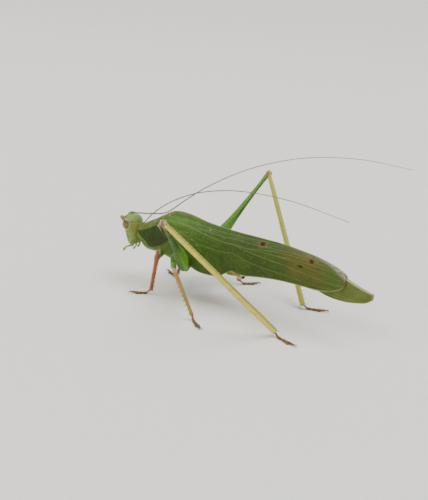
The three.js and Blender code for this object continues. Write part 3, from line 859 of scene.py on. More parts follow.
shield = {
    "back": (-12.95, 0.0, 14.85),
    "pitch": 30,
    "discFront": 1.75,
    "discBack": 2.4,
    "thickness": 0.24,
    # share from the hind edge, x of the crown, lean of the foot, depth of the side lobe
    "rows": [
        [0, 0.0, 0.95, 3.8],
        [0.06, -0.35, 0.85, 4.7],
        [0.2, -1.1, 0.55, 5.0],
        [0.45, -2.4, 0.2, 5.05],
        [0.7, -3.8, 0.05, 4.9],
        [0.88, -4.95, 0.45, 4.3],
        [1, -5.85, 0.95, 3.1],
    ],
    "steps": (121, 201),
    "carina": 0.09,  # height of the ridge between crown and side lobe
    "groove": 0.13,  # depth of the cross furrows
    # lift of the hind edge, of its very rim and of the foot
    "hem": 0.1,
    "rim": 0.05,
    "foot": 0.07,
    # place and half width: of the ridge, of the rusty corner and of the white spot as shares of the way from
    # the crown to the foot, of the furrows ahead of the hind edge
    "carinaAt": (0.47, 0.045),
    "cornerAt": (0.44, 0.055),
    "whiteAt": (0.52, 0.035),
    "furrowsAt": [(2.2, 0.16), (3.9, 0.14)],
    # thick waxed cuticle: pitted, more coarsely than in life, with a pinkish hem and rusty hind corners; the
    # flanks are dark, mostly as painted shade, below the paler disc
    "look": {
        # painted shade: the flanks' green is darkened for the shade that falls on the side lobes
        "first": "203404",
        "layers": [
            (("grain", 1.5), (0.35, 0.65), "2b3f08"),
            (("mark", "disc"), (0.2, 0.8), ("505e28", [(("grain", 1.5), (0.35, 0.65), "606e38")])),
            (("grain", 0.18, 2.0), (0.56, 0.66, 0.0, 0.5), "28350e"),
            (("mark", "groove"), None, "414d20"),
            (("mark", "hem"), None, "a58a72"),
            (("mark", "corner"), None, "6d4029"),
            (("mark", "white"), None, "cdb8b0"),
        ],
        "bumps": [(("cells", 0.22), None, 0.03), (("cells", 0.07), None, 0.01)],
        "roughness": (("grain", 0.6), (0.3, 0.7, 0.34, 0.5)),
        "shader": {"IOR": 1.53, "Specular IOR Level": 0.15},
    },
}


def inShield(points):
    return turned(points, shield["pitch"], shield["back"])


def archRows(rows, t, offset):
    # one arch per row, for t from -1 (left foot) over the crown to 1, moved in by the offset
    share, x, lean, depth = (rows[:, k, None] for k in range(4))
    disc = shield["discBack"] + (shield["discFront"] - shield["discBack"]) * share
    side = np.sign(t)[None]
    a = np.abs(t)[None]
    ys = (0 * disc, disc * 1.02, disc + 0.85, disc + 0.3)
    zs = (0.12 + 0 * disc, 0.12 + 0 * disc, -depth * 0.38, -depth)
    slopes = (3 * (1 - a) ** 2, 6 * (1 - a) * a, 3 * a**2)
    ty, tz = (sum(w * (q - p) for w, p, q in zip(slopes, v, v[1:])) for v in (ys, zs))
    inward = offset / np.maximum(np.hypot(ty, tz), 1e-6)
    y, z = bezier(a, ys) + inward * tz, bezier(a, zs) - inward * ty
    return np.stack([x + lean * a * a, y * side, z], -1)


def addShield():
    f, t = (np.linspace(start, 1, count) for start, count in zip((0, -1), shield["steps"]))
    t[np.abs(t) < 1e-9] = 1e-9
    rows = rowsAt(shield["rows"], f)
    outer = archRows(rows, t, 0.0)
    x = -outer[..., 0]  # distance forward from the hind edge
    across = outer[..., 1]
    down = np.abs(t)[None]  # 0 at the crown, 1 at the foot
    carina, corner, white = (bell(down - place, width) for place, width in
                             (shield[key] for key in ("carinaAt", "cornerAt", "whiteAt")))
    disc = 1 - smoothStep(0.4, 0.52, down) * np.ones_like(x)
    carina = carina * hump(0.0, 0.6, 4.6, 5.4, x)
    (bent, bentWidth), (straight, straightWidth) = shield["furrowsAt"]
    bent = bell(x - bent - 0.5 * (across / 2) ** 2, bentWidth) * (down < 0.8)
    straight = bell(x - straight, straightWidth) * smoothStep(0.2, 0.5, down)
    grooves = np.clip(bent + 0.7 * straight, 0, 1)
    ahead = x - x[:1]  # of its own hind edge
    hemLift = bell(ahead, 0.2) * shield["hem"] + bell((1 - f)[:, None], 0.03) * shield["rim"]
    footLift = bell(1 - down, 0.03) * shield["foot"]
    normal = unit(np.cross(np.gradient(outer, axis=1), np.gradient(outer, axis=0)))
    relief = shield["carina"] * carina - shield["groove"] * grooves + hemLift + footLift
    outer = outer + normal * relief[..., None]
    hind = 1 - smoothStep(0.12, 0.34, ahead)
    corner = corner * (1 - smoothStep(0.3, 0.75, x))
    lobeEdge = hump(0.46, 0.5, 0.66, 0.78, down)
    foot = smoothStep(0.972, 0.99, down) * np.ones_like(x)
    marks = {
        "disc": disc,
        "groove": grooves * 0.5,
        "hem": np.clip(hind * lobeEdge * 0.8 + 0.15 * foot + 0.15 * hind, 0, 0.85),
        "corner": np.clip(corner, 0, 1) * 0.9,
        "white": 0.75 * white * (1 - smoothStep(0.15, 0.4, x)),
    }
    part = sheetPart(outer[:, ::-1], shield["thickness"], 0.16, **{k: v[:, ::-1] for k, v in marks.items()})
    part["points"] = inShield(part["points"])
    material = makeMaterial("pronotumCuticle", shield["look"])
    addPiece("pronotumShield", part, material, ["pronotum"])


addShield()
print("pronotum is made")


trunk = {
    "voxel": 0.085,
    "belly": 6.1,
    # rings in front of the shield: distance ahead, share of its width and height, drop
    "neck": [(0.5, 0.95, 0.94, 0.1), (1.0, 0.88, 0.88, 0.2), (1.6, 0.78, 0.8, 0.3)],
    # x, middle z, half height, half width
    "thorax": [
        [-13.6, 10.9, 3.1, 2.1],
        [-11.5, 10.7, 3.7, 2.45],
        [-9.0, 10.4, 4.0, 2.55],
        [-6.0, 10.2, 3.9, 2.55],
        [-3.4, 10.2, 3.5, 2.35],
        [-1.0, 10.1, 3.2, 2.2],
    ],
    "abdomen": [
        [-3.3, 10.2, 3.35, 2.2],
        [-2.2, 10.2, 3.5, 2.45],
        [0.0, 9.95, 3.3, 2.45],
        [2.0, 9.5, 2.85, 2.2],
        [3.7, 9.1, 2.2, 1.8],
        [4.9, 8.9, 1.45, 1.25],
        [5.3, 8.85, 0.7, 0.7],
    ],
    "segmentEdges": [-3.1, -1.9, -0.75, 0.4, 1.5, 2.6, 3.55, 4.4],
    "segmentStep": 0.1,
    "foldDepth": 0.08,  # of the crease along the belly's flank
    "seamDepth": 0.07,
    "softening": 5,
    "seams": [-10.4, -7.6],  # x of the seams on the flank of the thorax
    # half sizes of the flesh round a hip
    "seat": (1.05, 0.75, 1.0),
    "hindSeat": (1.25, 0.8, 1.15),
    # soft-plated belly and flanks: fresh green, yellower below, the skin between plates paler
    "look": {
        "first": "46621c",
        "layers": [
            (("grain", 1.8), (0.35, 0.65), "567626"),
            (("mark", "belly"), (0.0, 1.0, 0.0, 0.5), "7f8a44"),
            (("grain", 0.2, 2.0), (0.58, 0.68, 0.0, 0.35), "344c16"),
            (("mark", "fold"), None, "66743a"),
        ],
        "bumps": [(("cells", 0.12), None, 0.015)],
        "roughness": (("grain", 0.9), (0.3, 0.7, 0.36, 0.52)),
        "shader": {"IOR": 1.5, "Specular IOR Level": 0.25, "Subsurface Weight": 0.12,
                   "Subsurface Radius": (0.0006, 0.001, 0.0003)},
    },
}


def trunkRings(table, count, sides, power):
    rows = rowsAt(table, np.linspace(0, 1, count))
    c, s = ovalTurn(sides, power)
    x = np.broadcast_to(rows[:, 0, None], (count, sides))
    y = rows[:, 3, None] * c[None]
    z = rows[:, 1, None] + rows[:, 2, None] * s[None]
    return np.stack([x, y, z], -1)


def prothoraxPart():
    # the flesh under the shield, a rounded breast below it and the neck in front
    rows = rowsAt(shield["rows"], np.linspace(0, 1, 40))
    t = np.linspace(-1, 1, 61)
    t[np.abs(t) < 1e-9] = 1e-9
    arch = archRows(rows, t, shield["thickness"] + 0.1)
    foot = arch[:, -1:]
    turn = np.linspace(0, math.pi, 26)[1:-1]
    breast = np.repeat(foot, len(turn), 1)
    breast[..., 0] += (np.sin(turn) * 0.3)[None] * rows[:, 2, None]
    breast[..., 1] = foot[..., 1] * np.cos(turn)[None]
    breast[..., 2] = foot[..., 2] + (-trunk["belly"] - foot[..., 2]) * (np.sin(turn) ** 0.8)[None]
    rings = np.concatenate([arch, breast], 1)
    neck = [rings[-1] * [1, wide, high] - [ahead, 0, drop] for ahead, wide, high, drop in trunk["neck"]]
    part = ringsPart(np.concatenate([rings, neck], 0))
    part["points"] = inShield(part["points"])
    return part


def addTrunk():
    parts = [prothoraxPart()]
    parts += [ringsPart(trunkRings(trunk[key], 60, 64, 0.94)) for key in ("thorax", "abdomen")]
    for s in sideNames.values():
        for name, leg in legs.items():
            root, hip = (leg[key] * [1, -s, 1] for key in ("root", "hip"))
            seat = trunk["hindSeat" if name == "hind" else "seat"]
            parts.append(ellipsoidPart(root + (hip - root) * 0.25, seat))
    skin, normals = fused(parts, trunk["voxel"], trunk["softening"])
    p = skin["points"]
    x, _, z = p.T
    # each abdominal ring laps over the next one: a slow rise that drops at its hind edge
    step = np.zeros(len(p))
    fold = np.zeros(len(p))
    edges = trunk["segmentEdges"]
    for start, end in zip(edges, edges[1:]):
        inside = (x >= start) & (x < end)
        g = (x - start) / (end - start)
        rise = smoothStep(0.0, 0.35, g) * (1 - 0.35 * g) * (1 - smoothStep(0.93, 1.0, g))
        step = np.where(inside, rise, step)
        fold = np.maximum(fold, bell(x - end, 0.08))
    below = smoothStep(8.6, 7.2, z)
    flank = bell(z - (8.7 - 0.05 * x), 0.16) * smoothStep(-3.4, -2.6, x)
    seams = [bell(x - place + 0.35 * (z - 9), 0.1) for place in trunk["seams"]]
    seam = np.clip(sum(seams), 0, 1) * smoothStep(-13.0, -12.0, x) * smoothStep(-3.2, -4.2, x)
    relief = trunk["segmentStep"] * step * smoothStep(-3.4, -3.0, x)
    relief = relief - trunk["foldDepth"] * flank - trunk["seamDepth"] * seam
    skin["points"] = p + normals * relief[:, None]
    skin["marks"] = {"belly": below, "fold": np.clip(0.6 * fold + 0.6 * flank + 0.5 * seam, 0, 1)}
    material = makeMaterial("bodyCuticle", trunk["look"])
    addPiece("bodySkin", skin, material, ["prothorax", "thorax", "abdomen"])


tail = {
    # x, middle z, half height, half width
    "plateRows": [
        [2.6, 6.95, 0.45, 1.15],
        [4.0, 7.0, 0.42, 1.05],
        [5.1, 7.2, 0.38, 0.8],
        [5.9, 7.55, 0.3, 0.5],
        [6.1, 7.65, 0.2, 0.3],
    ],
    "keel": 0.06,
    "plateLook": cuticleLook("587c26", "6c8e34", "3c561c", 0.4, 0.42),
    "styles": [(5.6, 0.34, 7.5), (6.05, 0.42, 7.7), (6.45, 0.44, 7.85)],
    "cercus": [(3.4, 1.1, 8.05), (4.3, 1.5, 7.8), (5.1, 1.75, 7.4), (5.85, 1.65, 7.1), (6.35, 1.2, 7.15),
               (6.4, 0.95, 7.35)],
    "cercusRadius": 0.46,
    # what it loses on the way, and at the hook
    "cercusTaper": 0.2,
    "cercusHook": 0.18,
    # hardened clasper: orange-brown horn that pales, then darkens to a black hooked point
    "cercusLook": {
        "first": "c27c38",
        "layers": [
            (("grain", 0.5), (0.4, 0.6), "cf9450"),
            (("mark", "along"), (0.0, 0.25, 1.0, 0.0), "8a9a48"),
            (("mark", "along"), (0.45, 0.62, 0.0, 0.7), "dcb896"),
            (("mark", "along"), (0.74, 0.82), "1a1008"),
        ],
        "bumps": [(("cells", 0.07), None, 0.01)],
        "roughness": 0.32,
        "shader": {"IOR": 1.53},
    },
}


def addTail():
    plate = ringsPart(trunkRings(tail["plateRows"], 50, 40, 0.85))
    keel = bell(plate["points"][:, 1], 0.12) * (plate["points"][:, 2] < 7.2)
    plate["points"][:, 2] -= tail["keel"] * keel
    parts = [plate]
    for s in sideNames.values():
        path = curvePoints(np.array(tail["styles"]) * [1, s, 1], 10)
        parts.append(tubePart(path, np.linspace(0.13, 0.07, 10), sides=12))
    green = makeMaterial("plateCuticle", tail["plateLook"])
    addPiece("genitalPlate", joined(parts), green, ["subgenital_plate"])
    horn = makeMaterial("cercusHorn", tail["cercusLook"])
    f = np.linspace(0, 1, 40)
    radii = tail["cercusRadius"] - tail["cercusTaper"] * smoothStep(0.0, 0.6, f)
    radii = radii - tail["cercusHook"] * smoothStep(0.86, 1.0, f)
    for word, s in sideNames.items():
        path = curvePoints(np.array(tail["cercus"]) * [1, s, 1], len(f))
        clasper = tubePart(path, radii, sides=20)
        addPiece("cercus" + word.capitalize(), clasper, horn, ["cercus_" + word])


tegmen = {
    # x, top, bottom, half width of the top, bulge of the side, half width at the hem, gap to the midline
    "rows": [
        [-13.6, 14.05, 13.2, 1.65, 1.8, 1.85, 0.06],
        [-12.5, 15.25, 14.3, 2.0, 2.3, 2.35, 0.06],
        [-10.6, 16.15, 12.6, 2.35, 2.9, 2.8, 0.06],
        [-8.6, 16.4, 10.9, 2.3, 3.1, 3.05, 0.06],
        [-6.2, 16.2, 9.1, 2.1, 3.2, 3.2, 0.06],
        [-3.4, 15.9, 6.9, 1.9, 3.25, 3.25, 0.06],
        [0.4, 15.5, 6.5, 1.6, 3.1, 3.05, 0.06],
        [4.4, 15.3, 7.4, 1.4, 2.8, 2.8, 0.05],
        [8.6, 15.2, 8.2, 1.3, 2.4, 2.45, 0.04],
        [12.8, 15.05, 8.6, 1.25, 2.0, 2.1, 0.03],
        [17.0, 14.6, 8.6, 1.22, 1.7, 1.75, 0.04],
        [20.6, 14.0, 8.4, 1.1, 1.38, 1.4, 0.05],
        [23.3, 13.2, 8.75, 0.94, 1.14, 1.15, 0.08],
        [25.0, 12.4, 9.5, 0.76, 0.9, 0.9, 0.18],
        [25.75, 11.5, 10.3, 0.66, 0.78, 0.78, 0.28],
    ],
    # where the hem lifts over the clasper: x, reach, height
    "notch": (4.3, 1.5, 0.95),
    "steps": (541, 141),
    "thickness": 0.2,
    "veinHeight": 0.04,
    "netHeight": 0.014,
    "waveHeight": 0.04,
    "scarDepth": 0.08,
    "rootReach": 0.07,  # share of its length that is hidden under the shield
    "length": 38,
    "netCell": (1.9, 0.72),  # length and width of a mesh of the net
    # each vein: half its width, then points as shares of the wing's length and of its depth from the top
    "veins": {
        "subcosta": (0.12, [(0.02, 0.62), (0.12, 0.6), (0.27, 0.58), (0.41, 0.6), (0.49, 0.68), (0.56, 0.78),
                            (0.635, 0.85), (0.7, 0.88), (0.77, 0.9), (0.85, 0.94), (0.9, 0.985)]),
        "radius": (0.16, [(0.02, 0.56), (0.12, 0.47), (0.2, 0.4), (0.29, 0.37), (0.39, 0.41), (0.48, 0.49),
                          (0.56, 0.585), (0.63, 0.64), (0.7, 0.69), (0.79, 0.74), (0.88, 0.8),
                          (0.97, 0.86)]),
        "sector": (0.11, [(0.42, 0.44), (0.52, 0.475), (0.62, 0.5), (0.72, 0.53), (0.84, 0.57),
                          (0.97, 0.62)]),
        "sectorFork": (0.1, [(0.6, 0.495), (0.7, 0.45), (0.8, 0.42), (0.9, 0.41), (0.985, 0.42)]),
        "sectorFork2": (0.09, [(0.5, 0.47), (0.58, 0.42), (0.7, 0.36), (0.82, 0.3), (0.93, 0.24)]),
        "media": (0.1, [(0.22, 0.39), (0.32, 0.31), (0.45, 0.33), (0.58, 0.34), (0.68, 0.29), (0.78, 0.2),
                        (0.86, 0.1)]),
        "cubitus": (0.11, [(0.02, 0.42), (0.1, 0.31), (0.2, 0.25), (0.3, 0.21), (0.4, 0.21), (0.5, 0.2),
                           (0.6, 0.15), (0.68, 0.08), (0.74, 0.02)]),
        "analFold": (0.1, [(0.02, 0.33), (0.08, 0.22), (0.15, 0.15), (0.22, 0.11), (0.3, 0.07),
                           (0.38, 0.02)]),
    },
    # the song organ's rasp, on the upper wing only, and the short veins from the subcosta to the hem
    "rasp": (0.2, [(0.075, 0.0), (0.082, 0.12), (0.095, 0.26)]),
    "branchWidth": 0.08,
    "costalBranches": [0.08, 0.14, 0.2, 0.26, 0.32, 0.38, 0.44, 0.5, 0.56, 0.62, 0.69],
    # marks on the wing: place, half width in mm, stretch along the wing, strength
    "scars": [
        ((0.555, 0.27), 0.46, 1.0, 1.0),
        ((0.738, 0.34), 0.42, 1.1, 0.85),
        ((0.7, 0.57), 0.22, 2.2, 0.9),
    ],
    "rust": [
        ((0.72, 0.5), 3.0, 1.7, 0.28),
        ((0.728, 0.36), 1.3, 1.7, 0.45),
        ((0.69, 0.68), 1.2, 1.5, 0.3),
        ((0.555, 0.27), 0.85, 1.1, 0.5),
        ((0.738, 0.34), 0.8, 1.2, 0.7),
        ((0.195, 0.03), 1.0, 1.6, 0.75),
        ((0.075, 0.15), 0.8, 1.1, 0.9),
        ((0.24, 0.62), 0.8, 1.6, 0.2),
    ],
    "flecks": [
        ((0.352, 0.25), 0.13, 1, 0.45),
        ((0.283, 0.57), 0.1, 1, 0.45),
        ((0.312, 0.62), 0.12, 1, 0.45),
        ((0.247, 0.51), 0.09, 1, 0.45),
        ((0.082, 0.25), 0.24, 1, 0.45),
        ((0.1, 0.15), 0.15, 1, 0.45),
    ],
    # leathery fore wing: a dyed membrane stretched over pale veins, waxed and faintly see-through
    "look": {
        "first": ("lengthwise", [(0.0, "4e7024"), (0.2, "4a6c1e"), (0.42, "2c420e"), (0.62, "364512"),
                                 (0.8, "434d1a"), (1.0, "5e6528")]),
        "layers": [
            (("grain", 3.2), (0.35, 0.65, 0.0, 0.5), "3f5a1a"),
            (("grain", 0.5, 4.0, (0.16, 1, 1.8)), (0.4, 0.65, 0.0, 0.55), "2c4210"),  # streaks
            (("grain", 0.2, 2.0), (0.5, 0.66, 0.0, 0.4), "2f3f12"),
            (("cells", 0.42, (0.7, 1, 1)), (0.3, 0.12, 0.0, 0.2), "7d9648"),
            (("mark", "net"), (0.2, 0.9, 0.0, 0.05), "7f9a50"),
            (("mark", "branch"), (0.1, 0.8, 0.0, 0.08), "93a866"),
            (("mark", "vein"), (0.1, 0.8, 0.0, 0.15), "93a866"),
            # painted highlight: a paler strip painted along the top ridge
            (("mark", "depthwise"), (0.0, 0.10, 0.25, 0.0), "8c9c5a"),  # the ridge where the wings meet
            (("grain", 0.5, 5.0, 0.7), (0.36, 0.6, 0.4, 1.0), ("mark", "rust"), None, "76532c"),
            # painted sheen: a pale grey reflection painted along the top edge towards the tip, broken by
            # dark speckles
            (("mark", "paintedSheen"), (0.0, 1.0, 0.0, 0.75), "a39c92"),
            (("grain", 0.24, 2.0), (0.45, 0.58, 0.0, 0.85), ("mark", "paintedSheen"), None, "4a5230"),
            (("mark", "scar"), None, "1e0a02"),
            (("mark", "fleck"), None, "c9d2ae"),
            (("mark", "edge"), (0.30, 0.10, 0.0, 0.6), "8f9a60"),
            (("mark", "lengthwise"), (0.935, 0.97), ("mark", "edge"), (0.34, 0.12), "6a4524"),
        ],
        "bumps": [(("cells", 0.16), None, 0.014)],
        "roughness": (("grain", 1.1), (0.3, 0.7, 0.38, 0.54)),
        "shader": {"IOR": 1.5, "Specular IOR Level": 0.2, "Subsurface Weight": 0.1,
                   "Subsurface Radius": (0.0004, 0.0007, 0.0002)},
    },
}


def wingGrid(u, t, lap, lift):
    # the wing's outer face, left side, over shares of its length and depth; the length starts at its root
    # and a little of it, below 0, reaches in under the shield
    steps = len(tegmen["rows"]) - 1
    rows = rowsAt(tegmen["rows"], (1 + (steps - 1) * u) / steps)
    x, top, bottom, half, bulge, hem, part = (rows[:, k, None] for k in range(7))
    place, reach, height = tegmen["notch"]
    bottom = bottom + height * bell(x - place, reach)
    lap, lift = lap[:, None], lift[:, None]
    a = t[None]
    ys = (-part + lap, -half * 1.25, -bulge * 1.12, -hem)
    zs = (top + lift, top + 0.02 + lift, (top + bottom) / 2, bottom)
    return np.stack([x + 0 * a, bezier(a, ys), bezier(a, zs)], -1)


def onGrid(grid, u, place):
    # a point on the wing at shares of its length and depth
    i = (place[0] - u[0]) / (u[-1] - u[0]) * (grid.shape[0] - 1)
    j = place[1] * (grid.shape[1] - 1)
    i0, j0 = min(int(i), grid.shape[0] - 2), min(int(j), grid.shape[1] - 2)
    fi, fj = i - i0, j - j0
    low = grid[i0, j0] * (1 - fj) + grid[i0, j0 + 1] * fj
    high = grid[i0 + 1, j0] * (1 - fj) + grid[i0 + 1, j0 + 1] * fj
    return low * (1 - fi) + high * fi


def veinCrest(grid, u, veins):
    # 1 on a vein's crest, falling to 0 at its foot
    samples, widths = [], []
    for width, route in veins:
        line = curvePoints(route, 800)
        for k, place in enumerate(line):
            samples.append(onGrid(grid, u, np.clip(place, 0, 1)))
            widths.append(width * (1 - 0.4 * k / len(line)))
    tree = KDTree(len(samples))
    for i, point in enumerate(samples):
        tree.insert(point, i)
    tree.balance()
    crest = np.zeros(grid.shape[:2])
    for index in np.ndindex(*grid.shape[:2]):
        _, i, distance = tree.find(grid[index])
        crest[index] = max(0.0, 1 - (distance / widths[i]) ** 2)
    return crest


def netOf(along, across, cell, seed, sharp=0.09):
    # a net of meshes: 1 on its threads
    rand = random.Random(seed)
    length, depth = along.max(), across.max()
    tree = KDTree(int(length / cell[0] + 3) * int(depth / cell[1] + 3))
    count = 0
    for i in range(int(length / cell[0]) + 3):
        for j in range(int(depth / cell[1]) + 3):
            x = (i - 0.5 + 0.5 * (j % 2) + rand.uniform(-0.3, 0.3)) * cell[0]
            y = (j - 0.5 + rand.uniform(-0.3, 0.3)) * cell[1]
            tree.insert((x / cell[0] * cell[1], y, 0), count)
            count += 1
    tree.balance()
    threads = np.zeros(along.shape)
    for index in np.ndindex(*along.shape):
        near = tree.find_n((along[index] / cell[0] * cell[1], across[index], 0), 2)
        threads[index] = max(0.0, 1 - (near[1][2] - near[0][2]) / 2 / sharp)
    return threads


def blot(along, across, u, place, size, stretch, strength, ragged):
    # a soft-edged patch round a place on the wing
    i = int((place[0] - u[0]) / (u[-1] - u[0]) * (along.shape[0] - 1))
    j = int(place[1] * (along.shape[1] - 1))
    dx = (along - along[i, j]) / stretch
    dy = across - across[i, j]
    angle = np.arctan2(dy, dx)
    wobble = 1 + ragged * (np.sin(2 * angle + 7 * place[0]) + 0.6 * np.cos(5 * angle + 3))
    return strength * (1 - smoothStep(0.45, 1.15, np.hypot(dx, dy) / (size * wobble)))


def tegmenPart(lapped):
    # the left wing laps over the right one and carries the scars and the song organ's rasp
    rowCount, columns = tegmen["steps"]
    u = np.linspace(-tegmen["rootReach"], 1, rowCount)
    t = np.linspace(0, 1, columns)
    base = hump(0.01, 0.08, 0.2, 0.36, u)
    closed = 1 - smoothStep(0.92, 0.98, u)
    lap = 0.6 * base + 0.25 * closed if lapped else 0 * u
    lift = 0.12 * base + 0.05 * closed if lapped else -0.05 * (base + closed)
    grid = wingGrid(u, t, lap, lift)
    along = np.broadcast_to((u * tegmen["length"])[:, None], grid.shape[:2])
    across = runLengths(grid, 1)
    veins, branches = list(tegmen["veins"].values()), []
    stem = np.array(tegmen["veins"]["subcosta"][1])
    for start in tegmen["costalBranches"]:
        depth = float(np.interp(start, stem[:, 0], stem[:, 1]))
        run = [(start, depth), (start + 0.03, depth + (1 - depth) * 0.55), (start + 0.055, 1.0)]
        branches.append((tegmen["branchWidth"], run))
    if lapped:
        veins.append(tegmen["rasp"])
    crest = veinCrest(grid, u, veins)
    branch = veinCrest(grid, u, branches)
    net = netOf(along, across, tegmen["netCell"], 11 if lapped else 12)
    normal = unit(np.cross(np.gradient(grid, axis=1), np.gradient(grid, axis=0)))
    # the upper wing is marked all over, the other one has rust near its root only
    scar, fleck, rust = (
        np.maximum.reduce(
            [blot(along, across, u, *spot, ragged) for spot in tegmen[key] if lapped or spot[0][0] < reach]
            + [0 * along]
        )
        for key, ragged, reach in (("scars", 0.1, 0), ("flecks", 0.2, 0), ("rust", 0.2, 0.3))
    )
    apex = smoothStep(0.78, 0.98, u)[:, None]
    topEdge = 1 - smoothStep(0.08 + 0.14 * apex, 0.28 + 0.44 * apex, t[None])
    wave = tegmen["waveHeight"] * np.sin(along / 2.1 + across * 0.8) * smoothStep(0.1, 0.4, t)[None]
    raised = np.maximum(crest, 0.5 * branch)
    relief = tegmen["veinHeight"] * raised + tegmen["netHeight"] * net * (1 - raised) + wave
    relief = relief - tegmen["scarDepth"] * scar
    marks = {
        "lengthwise": u[:, None],
        "depthwise": t[None],
        "vein": crest,
        "branch": branch,
        "net": net * (1 - raised),
        "rust": rust,
        "scar": scar,
        "fleck": fleck,
        # where the sheen is painted: towards the tip, along the top edge
        "paintedSheen": (smoothStep(0.66, 0.93, u) * (1 - smoothStep(0.985, 1.0, u)))[:, None] * topEdge,
    }
    outer = (grid + normal * relief[..., None])[:, ::-1]
    marks = {k: np.broadcast_to(v, along.shape)[:, ::-1] for k, v in marks.items()}
    thin = tegmen["thickness"] * (1 - 0.4 * smoothStep(0.5, 1.0, u))[:, None]
    return sheetPart(outer, thin, 0.14, **marks)


def addForeWings():
    membrane = makeMaterial("foreWingMembrane", tegmen["look"])
    addPiece("foreWingLeft", tegmenPart(True), membrane, ["tegmen_left"])
    addPiece("foreWingRight", mirrored(tegmenPart(False)), membrane, ["tegmen_right"])


hindWing = {
    # x, top, bottom
    "rows": [
        [-3.0, 14.9, 14.1],
        [0.0, 14.8, 13.6],
        [3.5, 14.65, 12.7],
        [6.5, 14.55, 11.3],
        [9.0, 14.5, 9.6],
        [14.0, 14.3, 9.2],
        [18.5, 13.75, 8.6],
        [22.5, 12.85, 7.4],
        [25.5, 11.6, 7.15],
        [27.6, 10.75, 7.4],
        [29.6, 10.1, 7.9],
        [30.8, 9.75, 8.8],
    ],
    "halfThickness": 0.21,
    "pleats": 9,
    "pleatDepth": 0.035,
    "gap": 0.02,  # from the midline
    "squareness": 0.75,
    "steps": (300, 96),
    # folded fan: thin pleated membrane, its bare tip tougher, olive, with a rusty point
    "look": {
        "first": "505c24",
        "layers": [
            (("grain", 2.0), (0.35, 0.65), "616b2e"),
            (("grain", 0.5, 4.0, (0.25, 1, 1.8)), (0.42, 0.62, 0.0, 0.4), "434f1c"),
            (("mark", "pleat"), (0.5, 1.0, 0.0, 0.25), "8a8f55"),
            (("mark", "upper"), (0.94, 0.985, 0.0, 0.85), "b9b592"),
            (("mark", "lengthwise"), (0.95, 0.995), "8c6a52"),
        ],
        "bumps": [(("cells", 0.16), None, 0.012)],
        "roughness": (("grain", 1.0), (0.3, 0.7, 0.38, 0.54)),
        "shader": {"IOR": 1.5, "Specular IOR Level": 0.22, "Subsurface Weight": 0.1,
                   "Subsurface Radius": (0.0004, 0.0006, 0.0002)},
    },
}


def addHindWings():
    rowCount, columns = hindWing["steps"]
    u = np.linspace(0, 1, rowCount)
    x, top, bottom = (column[:, None] for column in rowsAt(hindWing["rows"], u).T)
    c, s = (v[None] for v in ovalTurn(columns, hindWing["squareness"]))
    share = (s + 1) / 2 + 0 * x
    pleat = (0.5 + 0.5 * np.cos(2 * math.pi * hindWing["pleats"] * share)) ** 1.5
    half = hindWing["halfThickness"] * (1 - 0.35 * smoothStep(0.85, 1.0, u))[:, None]
    crease = hindWing["pleatDepth"] * pleat * np.sign(-c) * (np.abs(c) > 0.2)
    y = -hindWing["gap"] - half + half * c - crease
    z = (top + bottom) / 2 + (top - bottom) / 2 * s
    part = ringsPart(np.stack([x + 0 * c, y, z], -1), lengthwise=u[:, None], pleat=pleat, upper=share)
    membrane = makeMaterial("hindWingMembrane", hindWing["look"])
    addPairs(("hindWing", part, membrane, "leaf_green", ["hindwing"]))


